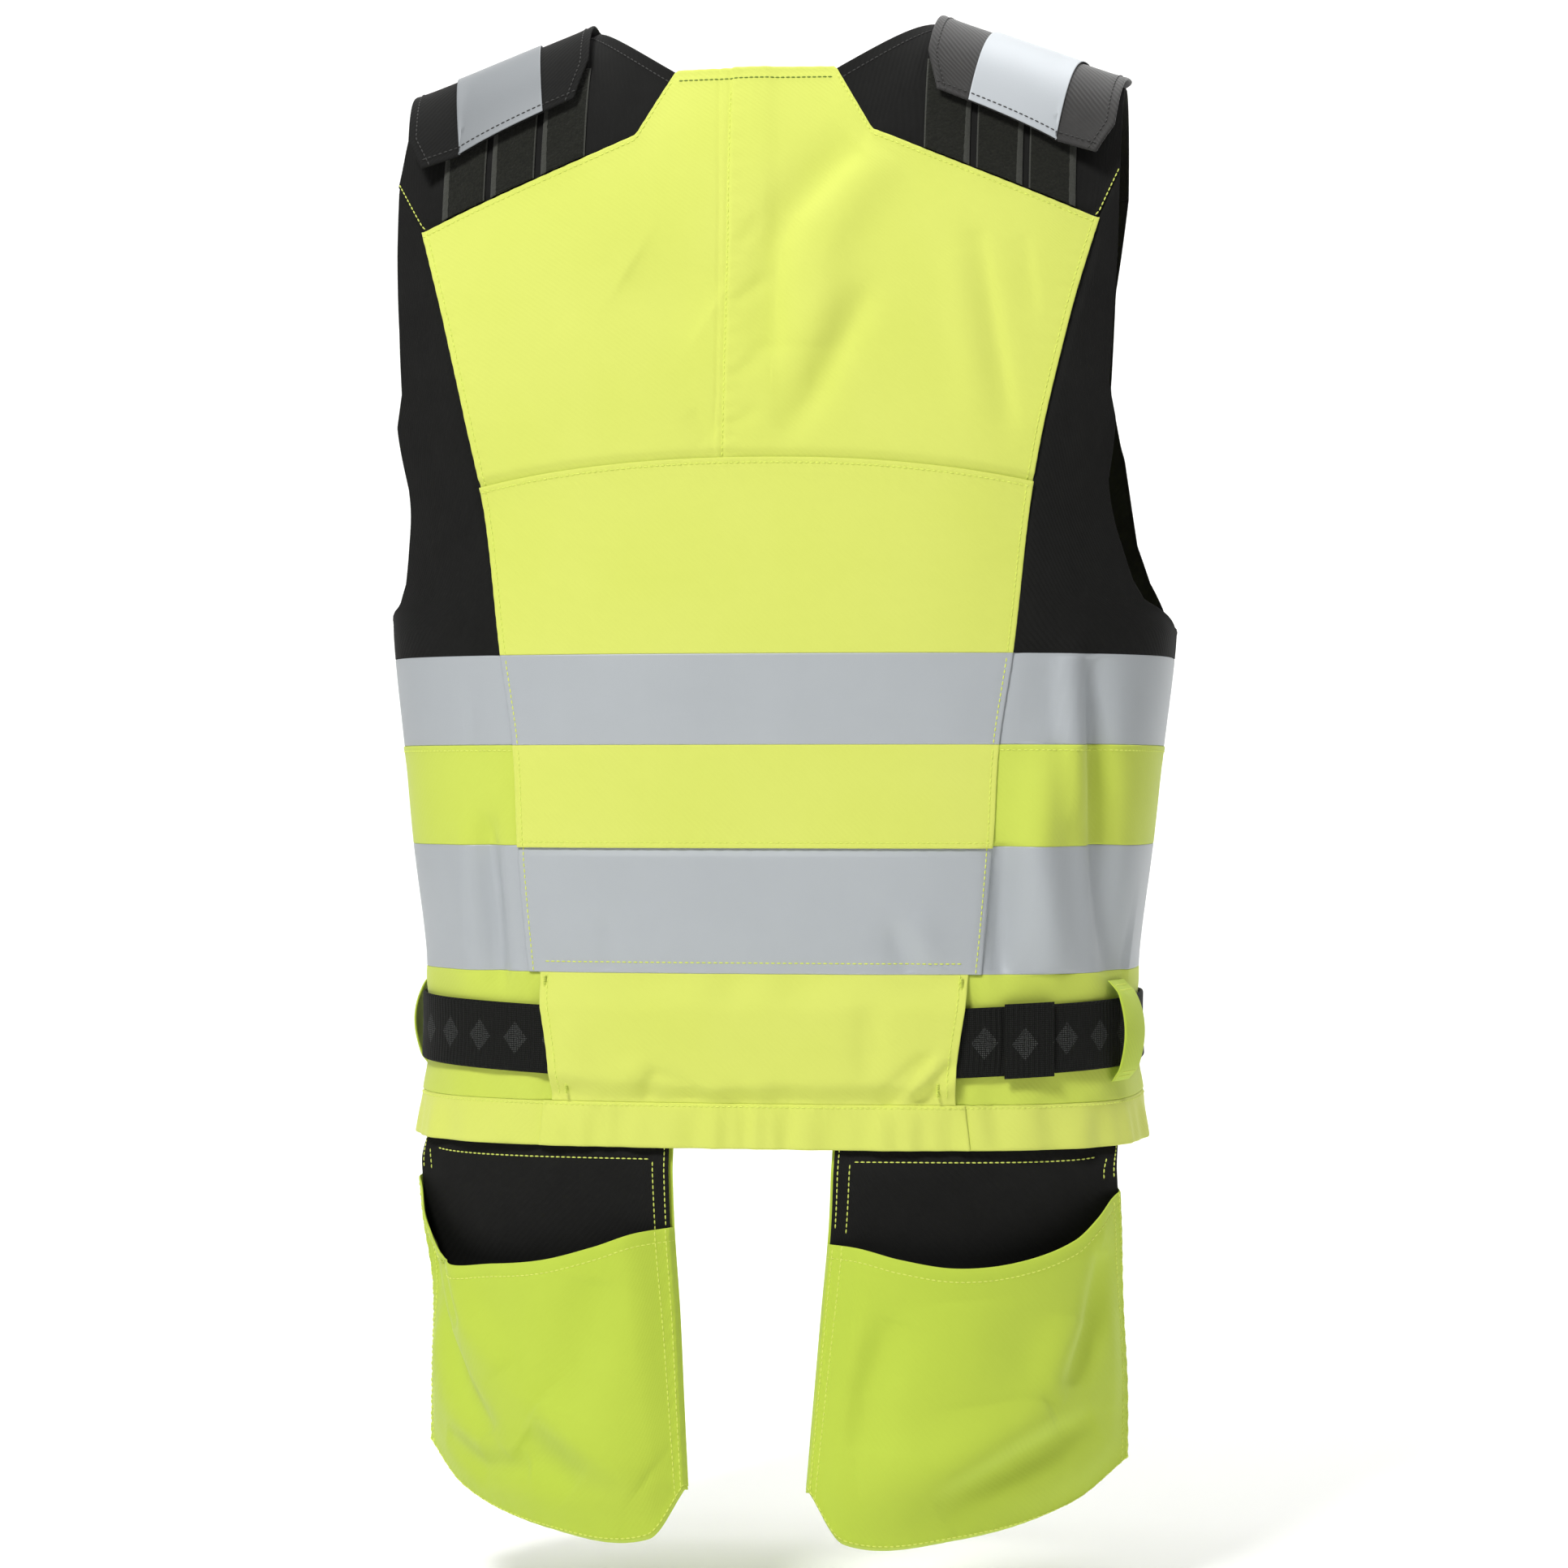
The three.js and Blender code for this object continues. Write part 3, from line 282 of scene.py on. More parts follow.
def spot(x, z, behind=True):
    """Turn and rise of the point of the shell at distance x and level z."""
    x, z = np.broadcast_arrays(np.asarray(x, float), np.asarray(z, float))
    swing = swing_at(x, np.maximum(z, CHEST_LEVEL), behind)
    high = (swing if behind else math.pi - swing) * RISE_RADIUS
    return turn_at(x, z, behind), np.where(z <= CHEST_LEVEL, z - CHEST_LEVEL, high)


def line_reach(x, z, line):
    """Signed distance of points from a line through given points, and how far along it they lie: the
    nearest of its straight pieces counts."""
    line = np.array(line, float)
    pieces = np.diff(line, axis=0)
    lengths = np.hypot(*pieces.T)
    starts = np.concatenate([[0], np.cumsum(lengths)])
    best, off, along = np.full(x.shape, np.inf), np.zeros(x.shape), np.zeros(x.shape)
    for begin, run, length, start in zip(line[:-1], pieces, lengths, starts):
        share = np.clip(((x - begin[0]) * run[0] + (z - begin[1]) * run[1]) / length ** 2, 0, 1)
        away_x, away_z = x - begin[0] - share * run[0], z - begin[1] - share * run[1]
        away = np.hypot(away_x, away_z)
        near = away < best
        best = np.where(near, away, best)
        off = np.where(near, away * np.sign(run[0] * away_z - run[1] * away_x), off)
        along = np.where(near, start + share * length, along)
    return off, along / starts[-1]


def folds_at(x, z, folds):
    """Height of folds: each is a bell across its line, wider on one side, that fades at both ends."""
    height = np.zeros(x.shape)
    for line, left, right, high in folds:
        off, along = line_reach(x, z, line)
        fade = 0.25 + 0.75 * np.sqrt(np.clip(4 * along * (1 - along), 0, 1))
        height += FOLD_STRENGTH * high * fade * bell(off / np.where(off > 0, left, right))
    return height


# Centre pleat of the back: levels, and the distances of its stitched line from the middle
PLEAT_LEVELS = (-222, -188, -165, -104, -81, -6)
PLEAT_STITCHED = (-16, -15, -14.5, -13, -13, -13)


def pleat(x, z):
    """Centre pleat of the back: a layer 0.9 mm proud between its stitched line and its soft roll."""
    stitched = np.interp(z, PLEAT_LEVELS, PLEAT_STITCHED)
    fold = np.interp(z, [-222, -188, -81, -6], [-22, -19, -18, -20])
    rolled = np.interp(z, [-222, -165, -6], [17, 13, 12])
    layer = smooth(stitched - 1.2, stitched + 1.6, x) * (1 - smooth(rolled - 7, rolled + 3, x))
    layer = layer * smooth(-222, -170, z)
    groove = -0.5 * bell((x - stitched) / 1.3) - 0.4 * bell((x - fold) / 1.2)
    ripple = 0.25 * np.sin(z * 2 * math.pi / 9 + 2 * np.sin(z / 17)) * bell((x - stitched - 3) / 5)
    return np.where(z > -223, 0.9 * layer + groove + ripple, 0)


def relief(p):
    """Height over the plain shell: folds and the pleat of the back, and uneven gathers below the
    lower tape, above the hem and down the hem."""
    x, y, z = p[..., 0], p[..., 1], p[..., 2]
    back = np.where(y > RIDGE_Y, 0, folds_at(x, z, FOLDS) + pleat(x, z))
    around = np.arctan2(x, CENTRE_Y - y) * CHEST_HALF

    def wave(pitch, sway, drift):
        return np.sin(around / pitch + sway * np.sin(around / drift))
    hem = 1.1 * smooth(572, 590, -z) * (wave(8.9, 1.4, 41) + 0.6 * wave(4.1, 2.2, 23))
    hem = hem + 0.28 * bell((z - HEM_TOP) / 6) * wave(1.75, 3, 15) * (0.6 + 0.4 * np.sin(around / 27))
    waist = 1.1 * bell((z - TAPE_LOWER_LOW + 8) / 9) * wave(13, 1, 37)
    waist = waist + 0.9 * bell((z - HEM_TOP - 5) / 8) * wave(10.5, 1.8, 33)
    return back + np.where(z < 1.4 * CHEST_LEVEL, hem + waist, 0)


def no_relief(p):
    return np.zeros(p.shape[:-1])


# Distances in mm of the first lines of points from an edge, for a rounded rim
RIM = np.array([0, 0.15, 0.45, 0.9, 1.5, 2.4])


def spaced(length, step, fine=0):
    """Shares of a length: close together near both ends for a rounded rim, a step apart between, and
    0.9 mm apart within a distance fine of the middle."""
    inner = np.linspace(3.4, length - 3.4, max(int((length - 6.8) / step), 2))
    if fine:
        inner = inner[np.abs(inner - length / 2) > fine + step / 2]
        inner = np.sort(np.concatenate([inner, length / 2 + np.arange(-fine, fine + 0.1, 0.9)]))
    return np.concatenate([RIM, inner, length - RIM[::-1]]) / length


def run_length(points, axis):
    """Distance along the grid's rows or columns from its first line."""
    steps = np.linalg.norm(np.diff(points, axis=axis), axis=-1)
    return np.concatenate([np.zeros_like(np.take(steps, [0], axis)), np.cumsum(steps, axis)], axis)


def cut(patch, surface, step, side=1, fine=0):
    """Grid over a patch, with each point's distance from its four edges and the outward normal."""
    t = np.linspace(0, 1, 33)
    width = max(run_length(surface(*patch(t, np.full_like(t, s))), 0)[-1] for s in (0.02, 0.5, 0.98))
    height = max(run_length(surface(*patch(np.full_like(t, s), t)), 0)[-1] for s in (0.02, 0.5, 0.98))
    u, v = np.meshgrid(spaced(width, step, fine), spaced(height, step))
    a, b = patch(u, v)
    a = side * a
    point = surface(a, b)
    nudge = 1e-3
    along = surface(a + nudge, b) - surface(a - nudge, b)
    normal = np.cross(along, surface(a, b + nudge) - surface(a, b - nudge))
    normal /= np.linalg.norm(normal, axis=-1, keepdims=True)
    rows, columns = run_length(point, 1), run_length(point, 0)
    return {
        "u": u, "v": v, "point": point, "normal": normal,
        "left": rows, "right": rows[:, -1:] - rows, "low": columns, "high": columns[-1:] - columns,
    }


# Least area of a sheet that is declared, as a share of its width times its length
LEAST_SHARE = 0.31


def cloth(name, grid, lift, wall, material, stands_for, folds=relief):
    """Closed cloth over a grid: its outer face stands lift over the surface, and the wall thins to a
    round rim, half an ellipse, at all four edges. Its declared area is the finished outer face's, but
    never more than width times length and never less than LEAST_SHARE of that. It works out a width and
    length, the longest row and column of the plain grid, and an area, the finished outer face's, but
    never more than width times length and never less than LEAST_SHARE of that, so it isn't the measured
    one where either limit acts; none of the three is used."""
    reach = np.minimum(np.minimum(grid["left"], grid["right"]), np.minimum(grid["low"], grid["high"]))
    half = wall / 2 * (0.1 + 0.9 * np.sqrt(1 - np.clip(1 - reach / (0.9 * wall), 0, 1) ** 2))
    middle = grid["point"] + grid["normal"] * (lift + folds(grid["point"]) - wall / 2)[..., None]
    outer = middle + grid["normal"] * half[..., None]
    inner = middle - grid["normal"] * half[..., None]
    rows, columns = outer.shape[:2]
    count = rows * columns
    index = np.arange(count).reshape(rows, columns)
    loop = np.concatenate([index[0, :-1], index[:-1, -1], index[-1, :0:-1], index[:0:-1, 0]])
    after = np.roll(loop, -1)
    faces = grid_faces(rows, columns)
    rim = np.stack([after, loop, loop + count, after + count], 1)
    faces = np.concatenate([faces, faces[:, ::-1] + count, rim])
    points = np.concatenate([outer.reshape(-1, 3), inner.reshape(-1, 3)]) / 1000
    first, second, third, fourth = points[faces].transpose(1, 0, 2)
    if (first * (np.cross(second, third) + np.cross(third, fourth))).sum() < 0:
        faces = faces[:, ::-1]
    piece = put_mesh(name, points, faces, material)
    place = np.stack([run_length(outer, 1), run_length(outer, 0)], -1).reshape(-1, 2) / 1000
    layer = piece.data.uv_layers.new(name="cloth")
    layer.data.foreach_set("uv", np.tile(place, (2, 1))[faces.ravel()].ravel())
    grid["outer"] = outer
    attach(piece, "root")
    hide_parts(stands_for)
    across, up = np.diff(outer, axis=1)[:-1], np.diff(outer, axis=0)[:, :-1]
    area = np.linalg.norm(np.cross(across, up), axis=-1).sum() / 1e6
    width, length = grid["left"][:, -1].max() / 1000, grid["low"][-1].max() / 1000
    area = max(min(area, width * length), LEAST_SHARE * width * length)


# Centre back panel
# Fluorescent polyester and cotton twill, cut at the arched seam, with a stitched pleat down its
# middle. Its folded edges lie over the black pieces beside it and are topstitched.
CLOTH_WALL, OVERLAP, TUCK = 1.0, 1.2, 4
TAPE_UPPER_TOP, TAPE_UPPER_LOW, TAPE_LOWER_TOP = -328.4, -378.4, -434
YOKE_CORNER_HALF, YOKE_KINK_HALF, NECK_HALF = 188, 66, 44.5
NECK_LEVEL, YOKE_KINK_LEVEL, YOKE_CORNER_LEVEL = -6, -42, -92
ARCH_SEAM_CENTRE, ARCH_SEAM_DROP = -222, 14
SEAM_STITCH, PLEAT_REACH = 3.4, 29

# down of VEST_LENGTH, half of CHEST_HALF
BACK_SEAM = np.array([
    (0.153, 0.832), (0.243, 0.765), (0.393, 0.677), (0.543, 0.628), (0.633, 0.593),
    (0.722, 0.58), (0.842, 0.551), (0.933, 0.518), (1.0, 0.532),
])


def noise(tree, place, scale, detail=2.0, roughness=0.5):
    """Noise over the piece's own coordinates, in metres."""
    inputs = {"Vector": place.outputs["Object"], "Scale": scale, "Detail": detail, "Roughness": roughness}
    return node(tree, "ShaderNodeTexNoise", inputs).outputs["Fac"]


def rib(tree, place, scale, distortion):
    """Diagonal rib along the cloth."""
    inputs = {"Vector": place.outputs["UV"], "Scale": scale, "Distortion": distortion}
    return node(tree, "ShaderNodeTexWave", inputs, bands_direction="DIAGONAL").outputs["Fac"]


def blend(tree, share, low, high):
    """Colour between two colours by a share."""
    inputs = {"Factor": share, "A": low, "B": high}
    return node(tree, "ShaderNodeMix", inputs, data_type="RGBA").outputs["Result"]


def drifting(tree, colour, share, low, high):
    """One colour times a level that runs from low to high with a share."""
    level = node(tree, "ShaderNodeMapRange", {"Value": share, "To Min": low, "To Max": high})
    inputs = {0: linear(colour)[:3], "Scale": level.outputs["Result"]}
    return node(tree, "ShaderNodeVectorMath", inputs, operation="SCALE").outputs["Vector"]


def finish(tree, out, look, height, strength, distance):
    """Surface with the given inputs, bumped by a height."""
    bump = node(tree, "ShaderNodeBump", {"Height": height, "Strength": strength, "Distance": distance})
    shader = node(tree, "ShaderNodeBsdfPrincipled", {**look, "Normal": bump.outputs["Normal"]})
    tree.links.new(shader.outputs["BSDF"], out.inputs["Surface"])


def hi_vis(name, colour, shade_colour):
    """Matt fluorescent twill: a fine diagonal rib, a soft fuzz that catches light at the turns, and a
    faint drift of colour across the cloth."""
    material, tree, place, out = new_material(name)
    tone = blend(tree, noise(tree, place, 14.0, 3.0), linear(shade_colour), linear(colour))
    # The real thread is 0.25 mm; it is drawn at 0.9 mm so that it shows as a faint grain.
    grain = {0: noise(tree, place, 1100.0), 1: rib(tree, place, 175.0, 0.4)}
    height = node(tree, "ShaderNodeMath", grain, operation="ADD").outputs[0]
    look = {"Base Color": tone, "Roughness": 0.82, "IOR": 1.45, "Specular IOR Level": 0.35,
            "Sheen Weight": 0.12, "Sheen Roughness": 0.5}
    finish(tree, out, look, height, 0.12, 0.0004)
    return material


yellow_twill = hi_vis("fluorescent_yellow_twill", "#dbe26f", "#d4de62")


def edge_seam(far, stitched=3.2):
    """Folded edge laid on top: a low swelling over the seam allowance and a groove at the stitches."""
    return 0.55 * bell(far / 7) - 0.22 * bell((far - stitched) / 0.7)


def under_seam(far):
    """Edge that runs on under its neighbour by TUCK: there it dips 1.3 mm, and it is level again 6 mm
    past the neighbour's edge."""
    return -1.3 * (1 - smooth(1.0, 6.0, far - TUCK))


def pucker(along, far, pitch=8.5, high=0.16):
    """Small ripples that stitching draws into cloth, fading a thumb's width away from the seam."""
    wander = along + 1.7 * np.sin(along / 11) + 2.6 * np.sin(along / 29)
    return high * np.sin(2 * math.pi * wander / pitch) * bell(far / 8)


def inset(grid, edge, distance, start=0.0, end=1.0):
    """Line on the finished cloth at a distance from one edge, with its normals, between two shares of
    the patch."""
    reach, face, normal, share = grid[edge], grid["outer"], grid["normal"], grid["v"][:, 0]
    if edge in ("low", "high"):
        reach, face, normal, share = reach.T, face.transpose(1, 0, 2), normal.transpose(1, 0, 2), grid["u"][0]
    if edge in ("right", "high"):
        reach, face, normal = reach[:, ::-1], face[:, ::-1], normal[:, ::-1]
    column = np.clip((reach < distance).sum(1), 1, reach.shape[1] - 1)
    row = np.arange(len(reach))
    before = reach[row, column - 1]
    part = ((distance - before) / (reach[row, column] - before))[:, None]
    line = mix(face[row, column - 1], face[row, column], part)
    keep = (share >= start) & (share <= end)
    return line[keep], normal[row, column][keep]


def insets(grid, edges, distances, start=0.0, end=1.0):
    """Lines at each distance from each of the edges."""
    return [inset(grid, edge, distance, start, end) for edge in edges for distance in distances]


def tack(grid, u, v, size):
    """Short upright line for a bar tack on the finished cloth, centred at shares u and v."""
    row, column = np.abs(grid["v"][:, 0] - v).argmin(), np.abs(grid["u"][0] - u).argmin()
    middle, normal = grid["outer"][row, column], grid["normal"][row, column]
    sideways = np.cross(normal, (0, 0, 1.0))
    way = np.cross(sideways, normal)
    reach = np.array([[-0.5], [0.5]]) * size
    return middle + reach * way / np.linalg.norm(way), np.stack([normal, normal])


# Shares of a stitch's length where its rings lie, and how full they are
STITCH_RINGS = ((-0.5, 0.35), (-0.2, 1.0), (0.2, 1.0), (0.5, 0.35))
STITCH_SIDES = 5


def stitch(name, runs, thread, length=2.4, gap=0.8, thick=0.75):
    """Rows of stitches as one piece: each is a short five-sided bead, thin at both ends where the
    thread goes into the cloth."""
    points = []
    for line, normal in runs:
        arc = run_length(line, 0)
        middle = np.arange(length / 2 + gap, arc[-1] - length / 2, length + gap)
        if not len(middle):
            continue

        def read(values, at):
            return np.stack([np.interp(at, arc, values[:, k]) for k in range(3)], 1)
        up = read(normal, middle)
        ahead = read(line, middle + 0.4 * length) - read(line, middle - 0.4 * length)
        ahead /= np.linalg.norm(ahead, axis=1, keepdims=True)
        across = np.cross(up, ahead)
        ring = []
        for share, swell in STITCH_RINGS:
            centre = read(line, middle + share * length) + up * (thick * (0.28 * swell - 0.12))
            for angle in np.linspace(0, 2 * math.pi, STITCH_SIDES, endpoint=False):
                ring.append(centre + thick / 2 * swell * (math.cos(angle) * up + math.sin(angle) * across))
        points.append(np.stack(ring, 1).reshape(-1, 3))
    points = np.concatenate(points) / 1000
    size = STITCH_SIDES * len(STITCH_RINGS)
    start = np.arange(len(points) // size)[:, None] * size
    side = np.array([
        (first + k, first + (k + 1) % STITCH_SIDES, first + STITCH_SIDES + (k + 1) % STITCH_SIDES,
         first + STITCH_SIDES + k)
        for first in range(0, size - STITCH_SIDES, STITCH_SIDES) for k in range(STITCH_SIDES)
    ])
    ends = np.arange(STITCH_SIDES)
    faces = (start[:, :, None] + side[None]).reshape(-1, 4).tolist()
    faces += (start + ends[::-1]).tolist() + (start + size - STITCH_SIDES + ends).tolist()
    piece = put_mesh(name, points, np.array(faces, dtype=object), thread)
    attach(piece, "root")


def thread_finish(name, colour):
    """Spun polyester thread: matt, with the light caught along its twist."""
    material, tree, place, out = new_material(name)
    # The twist is 0.3 mm; it is drawn at 0.6 mm.
    shade = drifting(tree, colour, noise(tree, place, 1600.0), 0.85, 1.12)
    spun = node(tree, "ShaderNodeBsdfPrincipled", {"Base Color": shade, "Roughness": 0.6, "IOR": 1.5})
    tree.links.new(spun.outputs["BSDF"], out.inputs["Surface"])
    return material


yellow_thread = thread_finish("yellow_polyester_thread", "#e2ee6e")
green_thread = thread_finish("dark_green_polyester_thread", "#66801f")
black_thread = thread_finish("black_polyester_thread", "#2e2e2c")


def between(low, high, start, end):
    """Patch ruled between four edges, low and high running across, start and end running up."""
    corners = [np.array(edge(share)) for edge in (low, high) for share in (np.float64(0), np.float64(1))]

    def patch(u, v):
        ends = []
        for k in (0, 1):
            ruled = mix(low(u)[k], high(u)[k], v) + mix(start(v)[k], end(v)[k], u)
            level, top = mix(corners[0][k], corners[1][k], u), mix(corners[2][k], corners[3][k], u)
            ends.append(ruled - mix(level, top, v))
        return ends
    return patch


def wider(patch, surface, left=0.0, right=0.0, low=0.0, high=0.0):
    """Patch drawn out past its edges by lengths in mm."""
    t = np.linspace(0, 1, 21)
    width = run_length(surface(*patch(t, np.full_like(t, 0.5))), 0)[-1]
    height = run_length(surface(*patch(np.full_like(t, 0.5), t)), 0)[-1]

    def drawn_out(u, v):
        return patch(mix(-left / width, 1 + right / width, u), mix(-low / height, 1 + high / height, v))
    return drawn_out


def seam_half(z):
    return track(BACK_SEAM, 1, -z / VEST_LENGTH) * CHEST_HALF


def seam_edge(low, high, side=1):
    """Back seam between two levels, read upwards."""
    def read(v):
        z = mix(low, high, v)
        turn, rise = spot(seam_half(z), z)
        return side * turn, rise
    return read


def seam_turn(z):
    return spot(seam_half(z), z)[0]


def level_edge(start, end, z):
    return lambda u: (mix(start, end, u), np.full_like(np.asarray(u, float), z - CHEST_LEVEL))


def yoke_seam_level(x):
    """Level of the yellow panel's upper edge at distance x: neck, steep part, long slope."""
    halves = (NECK_HALF, YOKE_KINK_HALF, YOKE_CORNER_HALF)
    return np.interp(x, halves, (NECK_LEVEL, YOKE_KINK_LEVEL, YOKE_CORNER_LEVEL))


def arch_edge(u):
    """Arched seam: it drops by a power of the distance from the middle."""
    share = 2 * u - 1
    turn, rise = spot(np.abs(share) * seam_half(ARCH_SEAM_CENTRE - ARCH_SEAM_DROP),
                      ARCH_SEAM_CENTRE - ARCH_SEAM_DROP * np.abs(share) ** 2.2)
    return np.sign(share) * turn, rise


def yoke_edge(u):
    share = 2 * u - 1
    x = np.abs(share) * YOKE_CORNER_HALF
    turn, rise = spot(x, yoke_seam_level(x))
    return np.sign(share) * turn, rise


def back_band(low, high):
    """Patch of the centre back between two levels."""
    low_turn, high_turn = seam_turn(low), seam_turn(high)
    return between(level_edge(-low_turn, low_turn, low), level_edge(-high_turn, high_turn, high),
                   seam_edge(low, high, -1), seam_edge(low, high))


arch_end = ARCH_SEAM_CENTRE - ARCH_SEAM_DROP
patch = between(arch_edge, yoke_edge, seam_edge(arch_end, YOKE_CORNER_LEVEL, -1),
                seam_edge(arch_end, YOKE_CORNER_LEVEL))
patch = wider(patch, shell_point, OVERLAP, OVERLAP, TUCK, OVERLAP)
grid = cut(patch, shell_point, 2.2, fine=PLEAT_REACH)
sides = np.minimum(grid["left"], grid["right"])
lift = edge_seam(sides) + edge_seam(grid["high"]) + under_seam(grid["low"])
lift += pucker(grid["low"], sides) + pucker(grid["left"], grid["high"])
cloth("back_upper_cloth", grid, lift, CLOTH_WALL, yellow_twill, "back_upper_panel")
neck_share = NECK_HALF / YOKE_CORNER_HALF / 2
back_seams = [
    *insets(grid, ("left", "right"), [SEAM_STITCH]),
    inset(grid, "high", 3.0, 0, 0.5 - neck_share), inset(grid, "high", 3.0, 0.5 + neck_share, 1),
]
neck_line = inset(grid, "high", 6.6, 0.5 - neck_share, 0.5 + neck_share)
# The pleat's stitches stop short of the seams at both ends.
stitched = slice(3, -8)
middle = grid["u"].shape[1] // 2
pleat_x = np.interp(grid["outer"][:, middle, 2], PLEAT_LEVELS, PLEAT_STITCHED)
pleat_line = np.array([
    [np.interp(x, row[:, 0], row[:, k]) for k in range(3)] for x, row in zip(pleat_x, grid["outer"])
])
back_seams.append((pleat_line[stitched], grid["normal"][stitched, middle]))

tape_turn = seam_turn(TAPE_UPPER_TOP)
patch = between(level_edge(-tape_turn, tape_turn, TAPE_UPPER_TOP), arch_edge,
                seam_edge(TAPE_UPPER_TOP, arch_end, -1), seam_edge(TAPE_UPPER_TOP, arch_end))
grid = cut(wider(patch, shell_point, OVERLAP, OVERLAP, 0, OVERLAP), shell_point, 2.5)
sides = np.minimum(grid["left"], grid["right"])
lift = edge_seam(sides) + edge_seam(grid["high"])
lift += pucker(grid["low"], sides) + pucker(grid["left"], grid["high"])
cloth("back_middle_cloth", grid, lift, CLOTH_WALL, yellow_twill, "back_middle_panel")
back_seams += [*insets(grid, ("left", "right"), [SEAM_STITCH]), inset(grid, "high", 3.0)]
stitch("neck_stitches", [neck_line], green_thread, gap=0.5)

# Reflective tapes and the yellow strip between them, across the back
# Grey glass-bead tape, heat-set on a cloth base. The strip's lower edge is folded over the lower
# tape and topstitched.


def glass_bead(name, colour):
    """Retroreflective film: satin grey with a fine even sparkle of beads and a slight cool sheen."""
    material, tree, place, out = new_material(name)
    tone = drifting(tree, colour, noise(tree, place, 22.0, 3.0), 0.94, 1.03)
    look = {"Base Color": tone, "Roughness": 0.48, "IOR": 1.5, "Specular IOR Level": 0.45, "Metallic": 0.12}
    # Beads are 0.05 mm; they are drawn at 0.8 mm so that the grain shows.
    finish(tree, out, look, noise(tree, place, 1300.0, 1.0), 0.1, 0.0003)
    return material


grey_tape = glass_bead("glass_bead_tape", "#b4b9bd")
BACK_BANDS = (
    # node, kind, low, high, finish, slot; cloth has its lower edge folded over, film doesn't
    ("back_tape_upper", "film", TAPE_UPPER_LOW, TAPE_UPPER_TOP, grey_tape, "reflective_tape"),
    ("back_strip", "cloth", TAPE_LOWER_TOP, TAPE_UPPER_LOW, yellow_twill, "hi_vis_cloth"),
    ("back_tape_lower", "film", TAPE_LOWER_LOW, TAPE_LOWER_TOP, grey_tape, "reflective_tape"),
)
for carried, kind, low, high, finished, slot_name in BACK_BANDS:
    folded, tucked = kind == "cloth", carried == "back_tape_lower"
    patch = wider(back_band(low, high), shell_point, OVERLAP, OVERLAP, OVERLAP * folded, TUCK * tucked)
    grid = cut(patch, shell_point, 2.5)
    sides = np.minimum(grid["left"], grid["right"])
    lift = edge_seam(sides) + pucker(grid["low"], sides)
    if folded:
        lift = lift + edge_seam(grid["low"]) + pucker(grid["left"], grid["low"])
    if tucked:
        lift = lift + under_seam(grid["high"])
    cloth(f"{carried}_{kind}", grid, lift, CLOTH_WALL, finished, carried)
    back_seams += insets(grid, ("left", "right"), [SEAM_STITCH])
    if folded:
        back_seams.append(inset(grid, "low", 3.0))
    if tucked:
        back_seams.append(inset(grid, "low", 6.0, 0.03, 0.97))

# Lower flap and hem of the back
# One yellow piece folded down over the belt, free at both sides so that the webbing can slide
# through, and the wide turned-up hem that gathers a little.
BELT_LIFT, BELT_WALL, FLAP_DRAWN_IN, HEM_WALL = 1.3, 2.2, -4.2, 2.0
FLAP_LIFT = BELT_LIFT + BELT_WALL + 2.2 + CLOTH_WALL


def flap_relief(p):
    """The flap's own folds; their valleys stop short of the belt beneath."""
    return np.maximum(relief(p), -1.9 + 1.2 * (1 - smooth(504, 520, -p[..., 2])))


patch = wider(back_band(HEM_TOP, TAPE_LOWER_LOW), shell_point, FLAP_DRAWN_IN, FLAP_DRAWN_IN)
grid = cut(patch, shell_point, 2.2)
sides = np.minimum(grid["left"], grid["right"])
foot = 0.16 + 0.07 * (2 * grid["u"] - 1) ** 2 + 0.02 * np.sin(grid["point"][..., 0] / 19)
rise = FLAP_LIFT * np.minimum(smooth(0, foot, grid["v"]), smooth(0, 0.3, 1 - grid["v"]))
cloth("back_lower_flap_cloth", grid, rise + edge_seam(sides) + pucker(grid["low"], sides), CLOTH_WALL,
      yellow_twill, "back_lower_flap", folds=flap_relief)
back_seams += insets(grid, ("left", "right"), [4.5], 0.04, 1)
# across, up and length of the bar tacks at the flap's corners
FLAP_TACKS = ((0.012, 0.93, 9), (0.988, 0.93, 9), (0.03, 0.1, 8), (0.97, 0.1, 8))
bar_tacks = [tack(grid, *spot_and_size) for spot_and_size in FLAP_TACKS]

grid = cut(back_band(-VEST_LENGTH, HEM_TOP), shell_point, 2.5)
cloth("back_hem_cloth", grid, 0.4 + 0 * grid["u"], HEM_WALL, yellow_twill, "hem_back")
back_seams.append(inset(grid, "high", 1.8))
stitch("back_panel_stitches", back_seams, yellow_thread)
stitch("back_bar_tacks", bar_tacks, yellow_thread, length=0.6, gap=0.1, thick=2.0)

# Side bands
# The tapes, the strip, the waist cloth and the hem carried round each side to the zip.
ZIP_WIDTH, FLAP_TUCK = 12, 14


def zip_turn(z):
    return turn_at(ZIP_WIDTH / 2, z, False)


def side_band(low, high):
    """Band from the back seam round the side to the zip."""
    def zip_edge(v):
        z = mix(low, high, v)
        return zip_turn(z), z - CHEST_LEVEL
    return between(level_edge(seam_turn(low), zip_turn(low), low),
                   level_edge(seam_turn(high), zip_turn(high), high), seam_edge(low, high), zip_edge)
